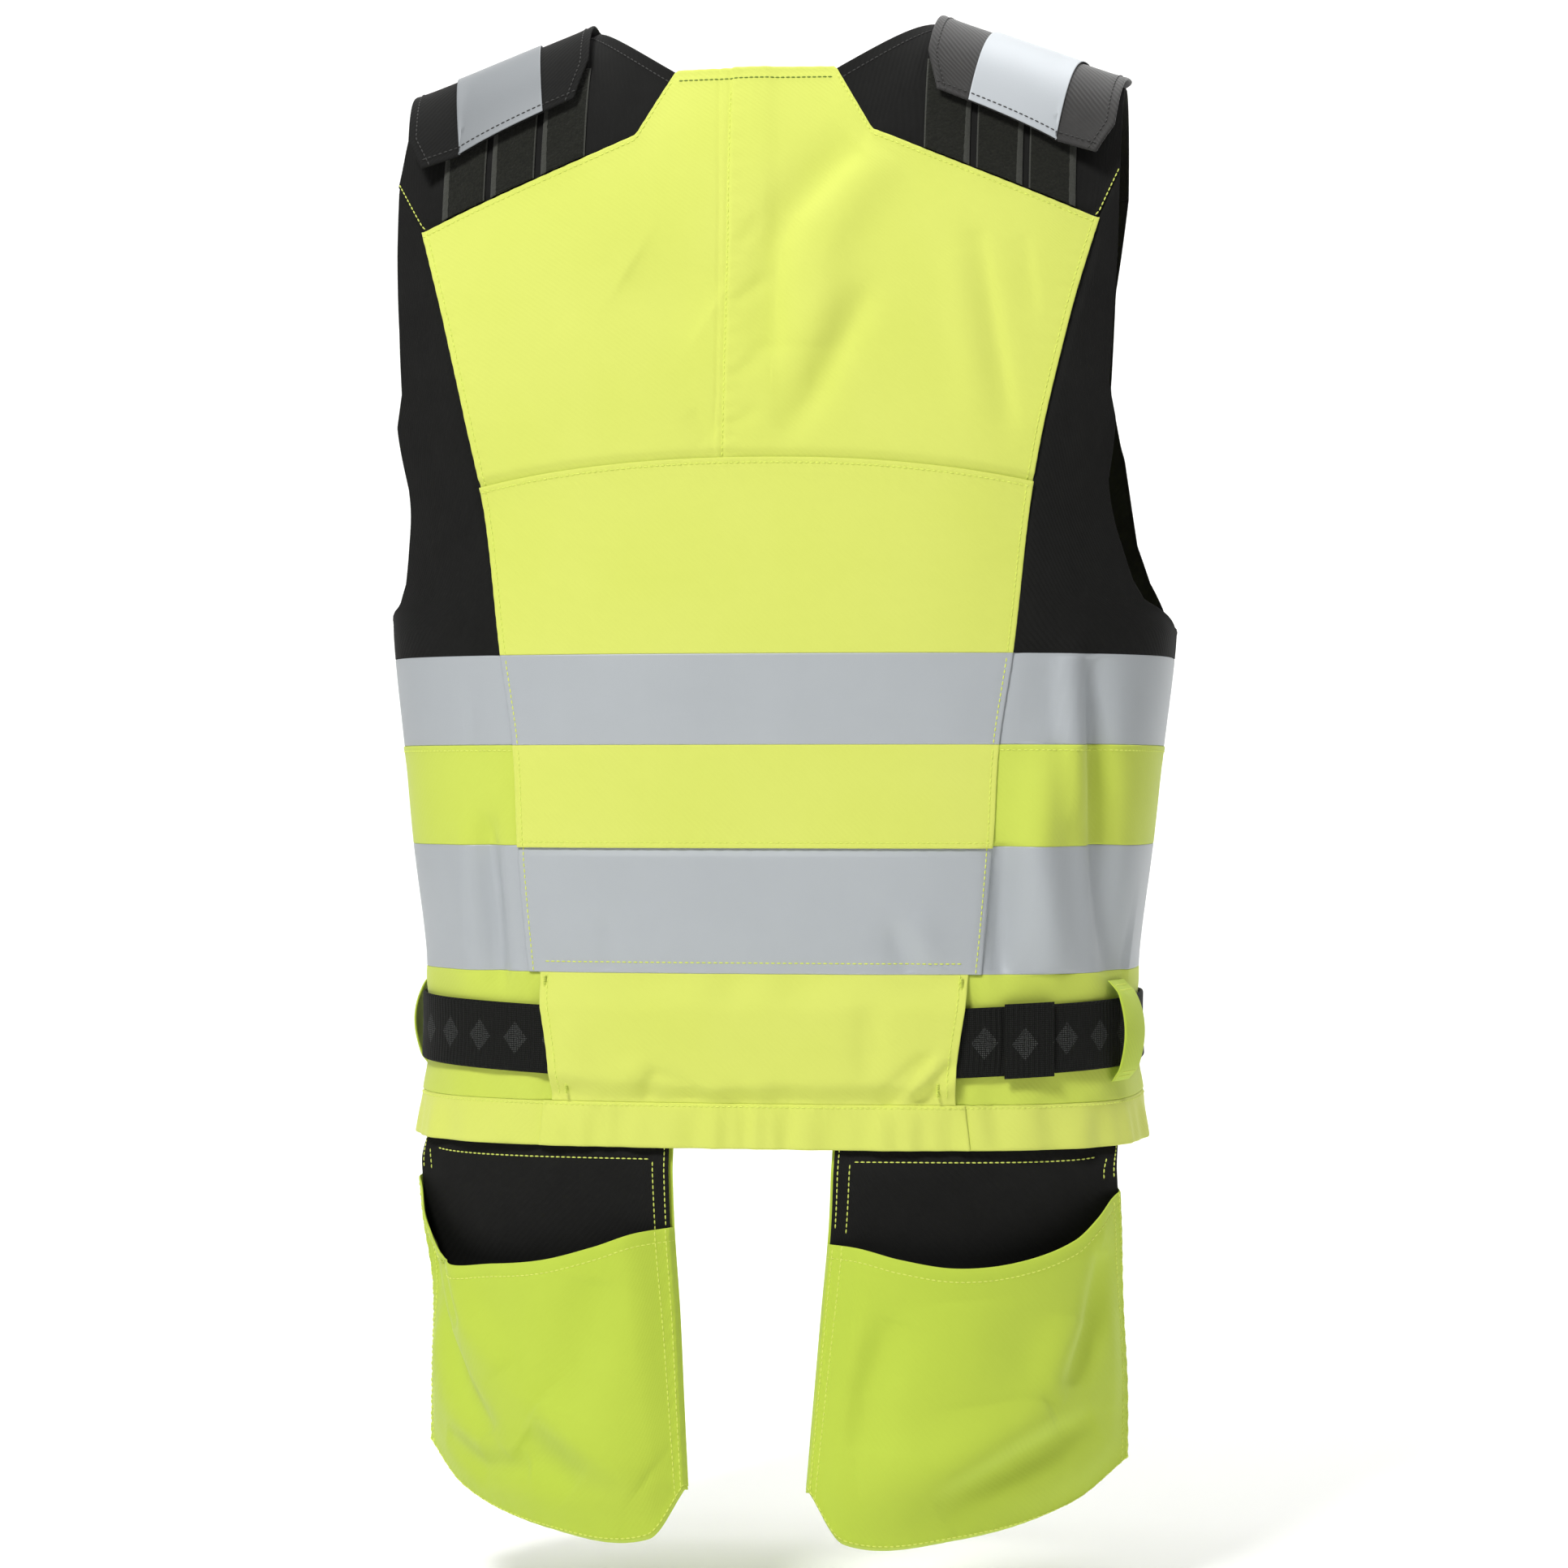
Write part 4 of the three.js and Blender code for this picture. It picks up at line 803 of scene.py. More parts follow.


# The side bands wear a darker, greener copy of the yellow twill: painted shade where the sides turn away from
# the light.
side_painted_shade_twill = hi_vis("fluorescent_twill_side_painted_shade", "#cddb5c", "#c7d752")
SIDE_BANDS = (
    # node, low, high, finish, slot, wall
    ("side_tape_upper", TAPE_UPPER_LOW, TAPE_UPPER_TOP, grey_tape, "reflective_tape", CLOTH_WALL),
    ("side_strip", TAPE_LOWER_TOP, TAPE_UPPER_LOW, side_painted_shade_twill, "hi_vis_cloth", CLOTH_WALL),
    ("side_tape_lower", TAPE_LOWER_LOW, TAPE_LOWER_TOP, grey_tape, "reflective_tape", CLOTH_WALL),
    ("side_lower", HEM_TOP, TAPE_LOWER_LOW, side_painted_shade_twill, "hi_vis_cloth", CLOTH_WALL),
    ("side_hem", -VEST_LENGTH, HEM_TOP, yellow_twill, "hi_vis_cloth", HEM_WALL),
)
for side_name, side in (("left", -1), ("right", 1)):
    side_seams = []
    for carried, low, high, finished, slot_name, wall in SIDE_BANDS:
        tucked = FLAP_TUCK if carried == "side_lower" else TUCK
        grid = cut(wider(side_band(low, high), shell_point, left=tucked), shell_point, 3.6, side)
        lift = under_seam(grid["left"] - tucked + TUCK)
        if carried == "side_strip":
            lift = lift + edge_seam(grid["high"]) + pucker(grid["left"], grid["high"])
        cloth(f"{carried}_cloth_{side_name}", grid, lift, wall, finished, f"{carried}_{side_name}")
        if carried in ("side_strip", "side_hem"):
            side_seams.append(inset(grid, "high", 3.0 if carried == "side_strip" else 1.8))
    stitch(f"side_stitches_{side_name}", side_seams, yellow_thread)

# Black side and chest panels
# Sturdy black twill behind and before each armhole; the armhole's edge is turned in and stitched.
YOKE_END_HALF, YOKE_END_LEVEL, ARMPIT_LEVEL = 202, -63, -315
FRONT_YOKE_INNER, FRONT_YOKE_OUTER, FRONT_YOKE_LEVEL, ZIP_TOP = 84, 196, -58, -100
# half of CHEST_HALF, down of VEST_LENGTH
ARMHOLE_BACK = (
    (0.938, 0.497), (0.912, 0.478), (0.881, 0.433), (0.867, 0.39), (0.872, 0.302), (0.881, 0.243),
    (0.892, 0.167),
)
ARMHOLE_FRONT = ((0.969, 0.51), (0.92, 0.47), (0.885, 0.433), (0.85, 0.347), (0.812, 0.278), (0.827, 0.183))
# half of FRONT_YOKE_INNER, down of ZIP_TOP
NECKLINE = ((0.25, 0.99), (0.45, 0.96), (0.8, 0.8))
# name, sign, how much further out than YOKE_END_HALF that side's yoke ends in mm
SIDES = (("left", -1, 5), ("right", 1, -2))


def black_twill(name, colour, roughness, sheen):
    """Black workwear twill: nearly flat, with a fine diagonal rib and a little grey fuzz in the light."""
    material, tree, place, out = new_material(name)
    tone = drifting(tree, colour, noise(tree, place, 30.0, 9.0, 0.75), 0.55, 1.45)
    look = {"Base Color": tone, "Roughness": roughness, "IOR": 1.45, "Specular IOR Level": 0.2,
            "Sheen Weight": sheen, "Sheen Roughness": 0.4}
    # Twill ribs are 0.5 mm apart; they are drawn at 1 mm so that they show.
    finish(tree, out, look, rib(tree, place, 160.0, 0.6), 0.25, 0.0004)
    return material


black_cloth = black_twill("black_workwear_twill", "#171716", 0.85, 0.01)


def straight(points):
    """Edge through rising points joined by straight lines, read by its climb."""
    table = np.array([(rise, turn) for turn, rise in points], float)
    foot, top = table[0, 0], table[-1, 0]
    return lambda share: (np.interp(mix(foot, top, share), table[:, 0], table[:, 1]), mix(foot, top, share))


def armhole(table, behind, out=0):
    """Armhole's points from its table; out fades away towards the armpit."""
    return [spot(half * CHEST_HALF + out * (1 - smooth(0.39, 0.5, down)), -down * VEST_LENGTH, behind)
            for half, down in table]


side_turn = math.pi / 2
side_seam = [(side_turn, TAPE_UPPER_TOP - CHEST_LEVEL), (side_turn, ARMPIT_LEVEL - CHEST_LEVEL)]
yoke_outer = spot(FRONT_YOKE_OUTER, FRONT_YOKE_LEVEL, False)
front_armhole = straight([*side_seam, *armhole(ARMHOLE_FRONT, False), yoke_outer])
neckline = [spot(half * FRONT_YOKE_INNER, down * ZIP_TOP, False) for half, down in NECKLINE]
front_inner = straight([
    (zip_turn(TAPE_UPPER_TOP), TAPE_UPPER_TOP - CHEST_LEVEL), spot(ZIP_WIDTH / 2, ZIP_TOP, False),
    *neckline, spot(FRONT_YOKE_INNER, FRONT_YOKE_LEVEL, False),
])


def side_yoke_edge(end_half):
    return lambda u: spot(mix(YOKE_CORNER_HALF, end_half, u), mix(YOKE_CORNER_LEVEL, YOKE_END_LEVEL, u))


def front_yoke_edge(u):
    return spot(mix(FRONT_YOKE_OUTER, FRONT_YOKE_INNER, u), FRONT_YOKE_LEVEL, False)


for side_name, side, out in SIDES:
    end_half = YOKE_END_HALF + out
    back_armhole = straight([*side_seam, *armhole(ARMHOLE_BACK, True, out), spot(end_half, YOKE_END_LEVEL)])
    patch = between(level_edge(tape_turn, side_turn, TAPE_UPPER_TOP), side_yoke_edge(end_half),
                    seam_edge(TAPE_UPPER_TOP, YOKE_CORNER_LEVEL), back_armhole)
    grid = cut(wider(patch, shell_point, left=TUCK, high=TUCK), shell_point, 3.0, side)
    lift = np.minimum(under_seam(grid["left"]), under_seam(grid["high"])) + 0.5 * edge_seam(grid["right"])
    cloth(f"side_panel_cloth_{side_name}", grid, lift, CLOTH_WALL, black_cloth, f"side_panel_{side_name}")
    patch = between(level_edge(side_turn, zip_turn(TAPE_UPPER_TOP), TAPE_UPPER_TOP), front_yoke_edge,
                    front_armhole, front_inner)
    grid = cut(patch, shell_point, 4.0, side)
    cloth(f"front_panel_cloth_{side_name}", grid, 0.5 * edge_seam(grid["left"]), CLOTH_WALL, black_cloth,
          f"front_panel_{side_name}")

# Shoulder yokes
# One black piece over each shoulder, from under the back panel's upper edge to the chest.
RIDGE_INNER, RIDGE_OUTER, RIDGE_SHARE, NECK_EASE, YOKE_TUCK = 99, 201, 0.6, 2.4, 0.03
for side_name, side, out in SIDES:
    end_half = YOKE_END_HALF + out
    corner = (YOKE_CORNER_HALF - NECK_HALF) / (end_half - NECK_HALF)

    def yoke_patch(u, v):
        """Distance and swing: up the back to the ridge, drawing in to the shoulder, then down the front."""
        v = v - YOKE_TUCK * (1 - v) * (1 - smooth(corner - 0.03, corner, u))
        x, ridge = mix(NECK_HALF, end_half, u), mix(RIDGE_INNER, RIDGE_OUTER, u)
        front = mix(FRONT_YOKE_INNER, FRONT_YOKE_OUTER, u)
        outer_level = mix(YOKE_CORNER_LEVEL, YOKE_END_LEVEL, (u - corner) / (1 - corner))
        z = np.where(u <= corner, yoke_seam_level(x), outer_level)
        ease = 1 - np.maximum(1 - v / RIDGE_SHARE, 0) ** NECK_EASE
        fall = np.clip((v - RIDGE_SHARE) / (1 - RIDGE_SHARE), 0, 1)
        back_swing = mix(swing_at(x, z), math.pi / 2, np.minimum(v / RIDGE_SHARE, 1))
        front_swing = mix(math.pi / 2, swing_at(front, FRONT_YOKE_LEVEL, False), fall)
        behind = v <= RIDGE_SHARE
        distance = np.where(behind, mix(x, ridge, ease), mix(ridge, front, fall))
        return distance, np.where(behind, back_swing, front_swing)

    grid = cut(yoke_patch, crest_point, 2.8, side)
    hidden = 1 - smooth(corner - 0.04, corner + 0.02, grid["u"])
    lift = under_seam(grid["low"]) * hidden + edge_seam(grid["low"]) * (1 - hidden)
    lift += 0.5 * edge_seam(np.minimum(grid["left"], grid["right"]))
    cloth(f"shoulder_yoke_cloth_{side_name}", grid, lift, CLOTH_WALL, black_cloth,
          f"shoulder_yoke_{side_name}")
    stitch(f"yoke_stitches_{side_name}", [inset(grid, "left", 6.6)], black_thread, gap=0.6)
    corner_line = inset(grid, "low", 2.2, corner - 0.012, 1)
    stitch(f"yoke_corner_stitches_{side_name}", [corner_line], yellow_thread)

# Loop strips
# Three strips of black loop tape down each yoke, sewn along their paler woven edges.
STRIP_WIDTH, STRIP_WALL, STRIP_GAP = 25, 1.1, 0.3
FLAP_INNER_TOP, FLAP_OUTER_TOP, FLAP_INNER_LOW, FLAP_OUTER_LOW = 0.437, 0.895, 0.41, 0.865
FLAP_BACK_INNER, FLAP_BACK_OUTER, FLAP_FRONT = 71, 66, 110
# Distance of each strip's middle as a share of CHEST_HALF
STRIP_SHARES = (("inner", 0.473), ("middle", 0.6), ("outer", 0.726))


def loop_pile(name):
    """Woven loop tape: a dull fuzzy pile between two smooth edges woven in a greyer thread."""
    material, tree, place, out = new_material(name)
    across = node(tree, "ShaderNodeSeparateXYZ", {"Vector": place.outputs["UV"]}).outputs["X"]
    # The pile fills all but 1 mm at each side of the 25 mm strip.
    offset = node(tree, "ShaderNodeMath", {0: across, 1: 0.0125}, operation="SUBTRACT")
    reach = node(tree, "ShaderNodeMath", {0: offset.outputs[0]}, operation="ABSOLUTE")
    border = node(tree, "ShaderNodeMath", {0: reach.outputs[0], 1: 0.0115}, operation="GREATER_THAN")
    pile = noise(tree, place, 700.0, 3.0)
    fuzz = blend(tree, pile, linear("#0a0b09"), linear("#25261f"))
    look = {"Base Color": blend(tree, border.outputs[0], fuzz, linear("#40413c")), "Roughness": 0.95,
            "IOR": 1.45, "Specular IOR Level": 0.15, "Sheen Weight": 0.1, "Sheen Roughness": 0.6}
    finish(tree, out, look, pile, 0.8, 0.0008)
    return material


loop_tape = loop_pile("black_loop_tape")
# The loops of the pile stand unevenly, up to half a millimetre.
tufts = np.random.default_rng(11)
for side_name, side, out in SIDES:
    for strip, share in STRIP_SHARES:
        def strip_patch(u, v):
            x = share * CHEST_HALF + (u - 0.5) * STRIP_WIDTH
            return x, mix(swing_at(x, yoke_seam_level(x) + 1.5), math.radians(FLAP_BACK_INNER + 4), v)
        grid = cut(strip_patch, crest_point, 1.4, side)
        inside = smooth(0.9, 1.7, np.minimum(grid["left"], grid["right"]))
        lift = STRIP_GAP + STRIP_WALL + inside * (0.15 + 0.55 * tufts.random(grid["u"].shape))
        cloth(f"loop_strip_{strip}_tape_{side_name}", grid, lift, STRIP_WALL, loop_tape,
              f"loop_strip_{strip}_{side_name}")

# Shoulder flaps
# Stiff flaps folded over each shoulder with cut corners, and a band of reflective tape wrapped round
# their middle. The right flap wears a lighter, glossier copy of the black twill, painted light, and the
# left flap's tape is a darker copy of the grey tape, painted shade.
FLAP_FLAT_HALF, FLAP_FLARE, FLAP_BASE, FLAP_WALL, FILM_WALL = 165, 3, 4.3, 1.6, 0.7
FLAP_CORNER, FLAP_CORNER_CUT, FLAP_DRAW_IN, FLAP_STITCH = 0.11, 0.7, 9, 5
# The right flap's cloth is a lighter, glossier copy of the black twill: its lighter colour is painted light.
# The left flap's tape is a darker copy of the grey tape: painted shade.
painted_light_flap_twill = black_twill("black_twill_painted_light", "#302f2e", 0.5, 0.32)
painted_shade_tape = glass_bead("glass_bead_tape_painted_shade", "#84888b")


def over_flap(x, swing):
    return crest_point(x, swing, FLAP_FLAT_HALF)


def flap_swing(v, x):
    share = (x / CHEST_HALF - FLAP_INNER_LOW) / (FLAP_OUTER_LOW - FLAP_INNER_LOW)
    return np.radians(mix(mix(FLAP_BACK_INNER, FLAP_BACK_OUTER, share), FLAP_FRONT, v))


def flap_band(top, low, whole):
    """Patch of the flap between two lines given at the ridge and at the ends. The whole flap has cut
    corners and draws in towards the front."""
    def patch(u, v):
        lean = np.clip((90 - mix(FLAP_BACK_INNER, FLAP_FRONT, v)) / (90 - FLAP_BACK_INNER), 0, 1)
        inner, outer = CHEST_HALF * mix(top[0], low[0], lean), CHEST_HALF * mix(top[1], low[1], lean)
        outer = outer - FLAP_DRAW_IN * smooth(0.5, 0.8, v) * whole
        trim = np.maximum(0, FLAP_CORNER - v) * (outer - inner) * FLAP_CORNER_CUT * whole
        x = mix(inner + trim, outer - trim, u)
        return x, flap_swing(v, x)
    return patch


def flap_stand(v):
    """The flap stands further off at its free edge behind and lies closer in front."""
    return FLAP_BASE + FLAP_FLARE * (1 - v) ** 2 - 2.1 * smooth(0.5, 0.9, v)


whole_flap = flap_band((FLAP_INNER_TOP, FLAP_OUTER_TOP), (FLAP_INNER_LOW, FLAP_OUTER_LOW), True)
taped_flap = flap_band((0.577, 0.788), (0.52, 0.733), False)
# side, sign, flap cloth and tape: the right flap's cloth is painted light, the left flap's tape painted shade
FLAP_LOOKS = (("left", -1, black_cloth, painted_shade_tape), ("right", 1, painted_light_flap_twill, grey_tape))
for side_name, side, flap_cloth, flap_film in FLAP_LOOKS:
    grid = cut(whole_flap, over_flap, 2.5, side)
    edges = np.minimum(np.minimum(grid["left"], grid["right"]), grid["low"])
    cloth(f"shoulder_flap_cloth_{side_name}", grid, flap_stand(grid["v"]) + edge_seam(edges), FLAP_WALL,
          flap_cloth, f"shoulder_flap_{side_name}",
          no_relief)
    flap_seams = insets(grid, ("left", "right", "low"), [FLAP_STITCH])
    grid = cut(taped_flap, over_flap, 2.5, side)
    cloth(f"flap_tape_film_{side_name}", grid, flap_stand(grid["v"]) + 1.45, FILM_WALL, flap_film,
          f"flap_tape_{side_name}", no_relief)
    flap_seams.append(inset(grid, "low", 4))
    stitch(f"flap_stitches_{side_name}", flap_seams, black_thread)

# Belt
# 38 mm elastic webbing in a loose loop round the waist, held by a plain moulded clasp in front.
# Its free end is doubled back behind, and two cloth loops hold it to the sides.
BELT_WIDTH, BELT_LEVEL, BELT_SAG, CLASP_WIDTH = 38, -537, 8, 52
FREE_END_START, FREE_END_STOP, FREE_END_EXTRA = 137, 162, 3


def webbing(name):
    """Elastic webbing: cross ribs, corded edges and a plain woven row of dotted lozenges, nearly black."""
    material, tree, place, out = new_material(name)
    parts = node(tree, "ShaderNodeSeparateXYZ", {"Vector": place.outputs["UV"]})

    def work(kind, first, second=0.0):
        return node(tree, "ShaderNodeMath", {0: first, 1: second}, operation=kind).outputs[0]

    across = {"Vector": place.outputs["UV"], "Scale": 105.0}
    ribs = node(tree, "ShaderNodeTexWave", across, bands_direction="X")
    # The woven dots are 0.6 mm; they are drawn at 1.1 mm so that they show.
    spread = {"Vector": place.outputs["UV"], "Scale": 900.0, "Randomness": 0.15}
    dot = work("LESS_THAN", node(tree, "ShaderNodeTexVoronoi", spread).outputs["Distance"], 0.34)
    reach = work("ABSOLUTE", work("SUBTRACT", parts.outputs["Y"], 0.019))
    # Lozenges 15 mm wide and 18 mm high, every 24 mm.
    turn = work("MODULO", work("ADD", parts.outputs["X"], 2.4), 0.024)
    along = work("ABSOLUTE", work("SUBTRACT", turn, 0.012))
    lozenge = work("LESS_THAN", work("ADD", work("MULTIPLY", along, 1.2), reach), 0.009)
    cord = work("GREATER_THAN", reach, 0.0168)
    motif = work("MULTIPLY", dot, work("ADD", work("MULTIPLY", lozenge, 0.9), 0.18))
    look = {"Base Color": blend(tree, motif, linear("#0b0c09"), linear("#484a49")), "Roughness": 0.8,
            "IOR": 1.45, "Specular IOR Level": 0.2}
    finish(tree, out, look, work("ADD", ribs.outputs["Fac"], work("MULTIPLY", cord, 1.4)), 0.6, 0.0006)
    return material


belt_webbing = webbing("black_elastic_webbing")


def belt_patch(start, end, width=BELT_WIDTH):
    """Strip round the waist that sags at the back by the square of the turn's cosine."""
    def patch(u, v):
        turn = mix(start, end, u)
        sag = np.where(np.cos(turn) > 0, BELT_SAG * np.cos(turn) ** 2, 0)
        return turn, BELT_LEVEL - sag + (v - 0.5) * width - CHEST_LEVEL
    return patch


clasp_turn = math.pi - CLASP_WIDTH / 2 / FRONT_DEPTH
grid = cut(belt_patch(-clasp_turn, clasp_turn), shell_point, 4)
cloth("belt_webbing_band", grid, BELT_LIFT + BELT_WALL + 0 * grid["u"], BELT_WALL, belt_webbing,
      "belt_webbing", no_relief)
free_end = [turn_at(half, BELT_LEVEL) for half in (FREE_END_START, FREE_END_STOP)]
grid = cut(belt_patch(*free_end, BELT_WIDTH + FREE_END_EXTRA), shell_point, 2.5)
cloth("belt_free_end_band", grid, BELT_LIFT + 2 * BELT_WALL + 0.6 + 0 * grid["u"], BELT_WALL, belt_webbing,
      "belt_free_end", no_relief)

moulded, tree, place, out = new_material("black_moulded_acetal")
# Spark-eroded mould texture, 0.1 mm, drawn at 0.5 mm.
look = {"Base Color": linear("#1b1b1a"), "Roughness": 0.45, "IOR": 1.48}
finish(tree, out, look, noise(tree, place, 2000.0), 0.15, 0.0002)
for carried in ("belt_clasp", "front_zip"):
    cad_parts[carried].data.materials.clear()
    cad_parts[carried].data.materials.append(moulded)

# The pockets and belt loops wear a darker, greener copy of the yellow twill: painted shade.
painted_shade_pocket_cloth = hi_vis("fluorescent_pocket_twill_painted_shade", "#c2d64c", "#bad044")
LOOP_WIDTH, LOOP_HEIGHT, LOOP_WALL = 25, 56, 1.6
# name, sign, turn from centre back in degrees, how far the loop stands off in mm
BELT_LOOPS = (("left", -1, 88, 8), ("right", 1, 72.5, 7))
for side_name, side, turn, stand in BELT_LOOPS:
    half = LOOP_WIDTH / 2 / CHEST_HALF

    def loop_patch(u, v):
        return math.radians(turn) + (2 * u - 1) * half, BELT_LEVEL + (v - 0.5) * LOOP_HEIGHT - CHEST_LEVEL
    grid = cut(loop_patch, shell_point, 2.0, side)
    foot, clear = STRIP_GAP + 0.5 + LOOP_WALL, BELT_LIFT + BELT_WALL + LOOP_WALL + 0.6
    bulge = np.maximum(foot, np.minimum(clear, foot + 30 * np.minimum(grid["v"], 1 - grid["v"])))
    bulge = bulge + stand * np.sin(math.pi * grid["v"])
    cloth(f"belt_loop_cloth_{side_name}", grid, bulge, LOOP_WALL, painted_shade_pocket_cloth, f"belt_loop_{side_name}")
    loop_seams = insets(grid, ("low", "high"), (2.5, 5.0), 0.12, 0.88)
    stitch(f"belt_loop_stitches_{side_name}", loop_seams, yellow_thread, length=1.6, gap=0.3)

# Hanging pockets
# Each hangs by its upper edge from inside the hem: a yellow backing sheet, a black front panel and
# a full yellow pouch with a scooped mouth, sewn in along its sides and foot.
POCKET_TOP, POCKET_LENGTH, POCKET_WALL = -600.5, 215, 1.4
POUCH_STAND, POUCH_WALL, BACKING_GAP, BACKING_WALL = 19, 1.1, 1.5, 0.9
PANEL_TOP, BACKING_TOP, HEM_INSIDE, POUCH_EDGE, POUCH_FOOT = -12, -8, 6, 2.2, 1.8
# drop of POCKET_LENGTH, inner and outer edge of CHEST_HALF, their depths of BACK_DEPTH
POCKET_EDGES = np.array([
    (0.0, 0.204, 0.872, -0.95, -0.6),
    (0.2, 0.197, 0.876, -0.955, -0.48),
    (0.42, 0.18, 0.872, -0.98, -0.3),
    (0.65, 0.165, 0.88, -1.03, -0.26),
    (1.0, 0.142, 0.88, -1.1, -0.3),
])
# share across, drop of the foot of POCKET_LENGTH
POCKET_FOOT = np.array([(0.0, 0.85), (0.13, 0.975), (0.5, 0.972), (0.83, 0.918), (1.0, 0.83)])
# share across, drop of the left and of the right mouth of POCKET_LENGTH
MOUTH = np.array([
    (0.0, 0.2, 0.235), (0.12, 0.214, 0.242), (0.25, 0.247, 0.265), (0.42, 0.28, 0.282), (0.6, 0.292, 0.265),
    (0.8, 0.292, 0.21), (0.9, 0.222, 0.152), (0.95, 0.155, 0.128), (1.0, 0.1, 0.112),
])
# Folds of the pouches, as in FOLDS, with x below 0 and growing less towards the outer edge
POUCH_FOLDS = {
    "left": (
        (((-172, -664), (-156, -704)), 5, 6, -3.6),
        (((-190, -656), (-178, -700), (-160, -738), (-140, -762)), 9, 12, -6.0),
        (((-168, -664), (-150, -700), (-128, -726)), 12, 14, 3.6),
        (((-80, -672), (-86, -706), (-98, -744)), 14, 16, -3.6),
        (((-108, -742), (-84, -760), (-54, -780)), 15, 13, 4.6),
        (((-176, -770), (-150, -782), (-118, -778)), 9, 9, -3.8),
        (((-120, -762), (-90, -786)), 14, 14, -3.4),
    ),
    "right": (
        (((-182, -655), (-172, -697), (-160, -730)), 6, 9, -3.6),
        (((-160, -690), (-146, -736)), 11, 12, 2.4),
        (((-78, -690), (-66, -730), (-64, -762)), 10, 12, -3.4),
        (((-62, -776), (-100, -772), (-150, -742)), 16, 18, 4.0),
        (((-176, -752), (-140, -768), (-100, -792)), 10, 13, -3.2),
        (((-112, -680), (-118, -736)), 20, 20, 2.0),
    ),
}


def pocket_point(across, drop):
    """Pocket sheet by share across and drop below the hem: it bows out of the body's curve."""
    inner, outer, inner_y, outer_y = [track(POCKET_EDGES, k, drop / POCKET_LENGTH) for k in (1, 2, 3, 4)]
    x = mix(inner * CHEST_HALF, outer * CHEST_HALF, across)
    y = mix(inner_y * BACK_DEPTH, outer_y * BACK_DEPTH, np.abs(across) ** 2.4)
    return np.stack([x, y, POCKET_TOP - drop], -1)


def pocket_sheet(low, high, inner=0.0, outer=0.0):
    """Patch by share across and drop, from a foot to a top, drawn out by shares of the width."""
    def patch(u, v):
        across = mix(-inner, 1 + outer, u)
        return across, mix(low(across), high(across), v)
    return patch


def foot_drop(across):
    return POCKET_LENGTH * track(POCKET_FOOT, 1, np.clip(across, 0, 1))


def outward(grid):
    """The grid with its normals turned to face behind."""
    grid["normal"] = grid["normal"] * np.where(grid["normal"][..., 1:2] > 0, -1, 1)
    return grid


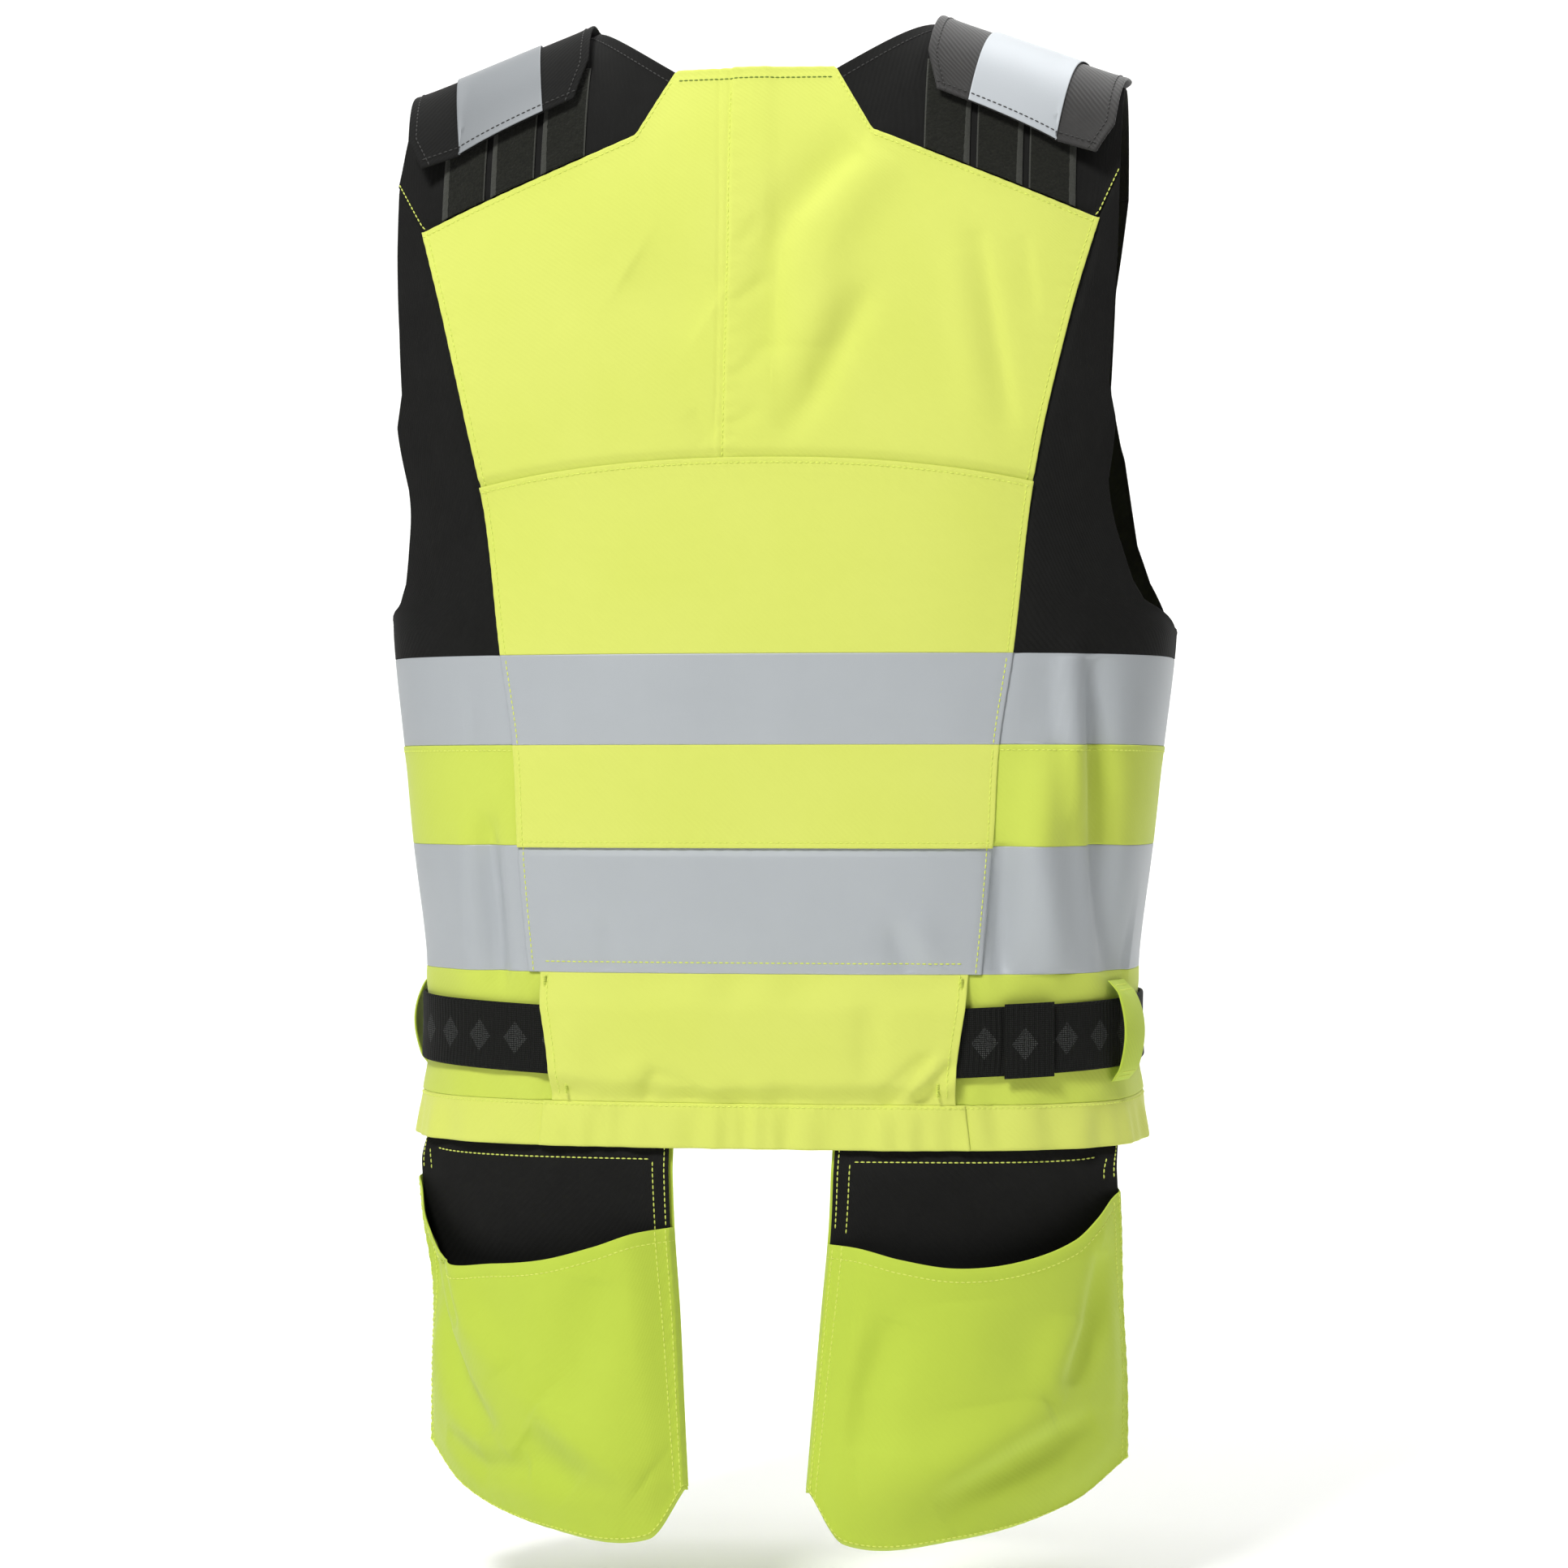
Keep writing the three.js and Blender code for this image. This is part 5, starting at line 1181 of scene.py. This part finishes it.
for side_name, side, column in (("left", -1, 1), ("right", 1, 2)):
    def mouth_drop(across):
        return POCKET_LENGTH * track(MOUTH, column, np.clip(across, 0, 1))

    def hung(across, drop):
        """Pocket sheet whose top bends in to lie behind the hem, inside a smaller section."""
        out = pocket_point(across, np.maximum(drop, 0))
        half, depth, power = section(np.float64(-VEST_LENGTH), True)
        share = np.minimum(np.abs(out[..., 0]) / (half - HEM_INSIDE), 1)
        tucked = CENTRE_Y - (depth - HEM_INSIDE) * (1 - share ** power) ** (1 / power)
        y = mix(tucked, out[..., 1], smooth(-6, 14, drop))
        return np.stack([side * out[..., 0], y, POCKET_TOP - drop], -1)

    grid = outward(cut(pocket_sheet(lambda a: foot_drop(a) - 1.6, lambda a: PANEL_TOP + 0 * a), hung, 3.0))
    x, z = grid["point"][..., 0], grid["point"][..., 2]
    lift = 0.35 * edge_seam(np.minimum(grid["left"], grid["right"]), 2.5)
    lift = lift + 0.5 * np.sin(x / 13) * smooth(20, 60, -VEST_LENGTH - z)
    cloth(f"pocket_panel_cloth_{side_name}", grid, lift, POCKET_WALL, black_cloth,
          f"pocket_panel_{side_name}", folds=no_relief)
    pocket_seams = [
        inset(grid, "left", 2.5, 0.72, 0.97), inset(grid, "left", 9, 0.72, 0.92),
        inset(grid, "right", 2.5, 0.84, 0.97), inset(grid, "right", 9, 0.84, 0.92),
        inset(grid, "high", 18.5, 0.06, 0.94),
    ]

    patch = pocket_sheet(lambda a: foot_drop(a) - 0.4, lambda a: BACKING_TOP + 0 * a, 0.012, 0.008)
    grid = outward(cut(patch, hung, 4))
    lift = -1.8 - BACKING_GAP + 0 * grid["u"]
    cloth(f"pocket_backing_cloth_{side_name}", grid, lift, BACKING_WALL, painted_shade_pocket_cloth,
          f"pocket_backing_{side_name}", folds=no_relief)

    patch = pocket_sheet(lambda a: foot_drop(a) - 0.2, mouth_drop)
    grid = outward(cut(wider(patch, hung, POUCH_EDGE, POUCH_EDGE, POUCH_FOOT, 0), hung, 2.0))
    u, v = np.clip(grid["u"], 0, 1), np.clip(1 - grid["v"], 0, 1)
    sides = np.minimum(grid["left"], grid["right"])
    edges = np.minimum(sides, grid["low"])
    fullness = (1 - np.abs(2 * u - 1) ** 3.2) ** 0.75
    fall = np.sin(math.pi * np.clip(0.34 + 0.66 * v, 0, 1)) ** 0.55
    lines = folds_at(-grid["point"][..., 0] * side, grid["point"][..., 2], POUCH_FOLDS[side_name])
    stand = 0.6 + POUCH_WALL + fullness * fall * POUCH_STAND * smooth(0, 26, edges) ** 0.5
    stand += lines * smooth(0, 14, edges) + 0.5 * edge_seam(edges, 2.5)
    stand += pucker(grid["low"], sides, 9, 0.25) + pucker(grid["left"], grid["low"], 10, 0.2)
    stand += 0.35 * bell((grid["high"] - 3.6) / 3.4) - 0.3 * bell((grid["high"] - 7.4) / 0.8)
    # The edge wraps back over the panel and the backing.
    stand -= 4.8 * (1 - smooth(0, 2.4, edges))
    cloth(f"pocket_pouch_cloth_{side_name}", grid, stand, POUCH_WALL, painted_shade_pocket_cloth,
          f"pocket_pouch_{side_name}", folds=no_relief)
    pocket_seams += insets(grid, ("left", "right"), (3.8, 9.2))
    pocket_seams += [inset(grid, "high", 7.4), inset(grid, "low", 2.8)]
    stitch(f"pocket_stitches_{side_name}", pocket_seams, yellow_thread)
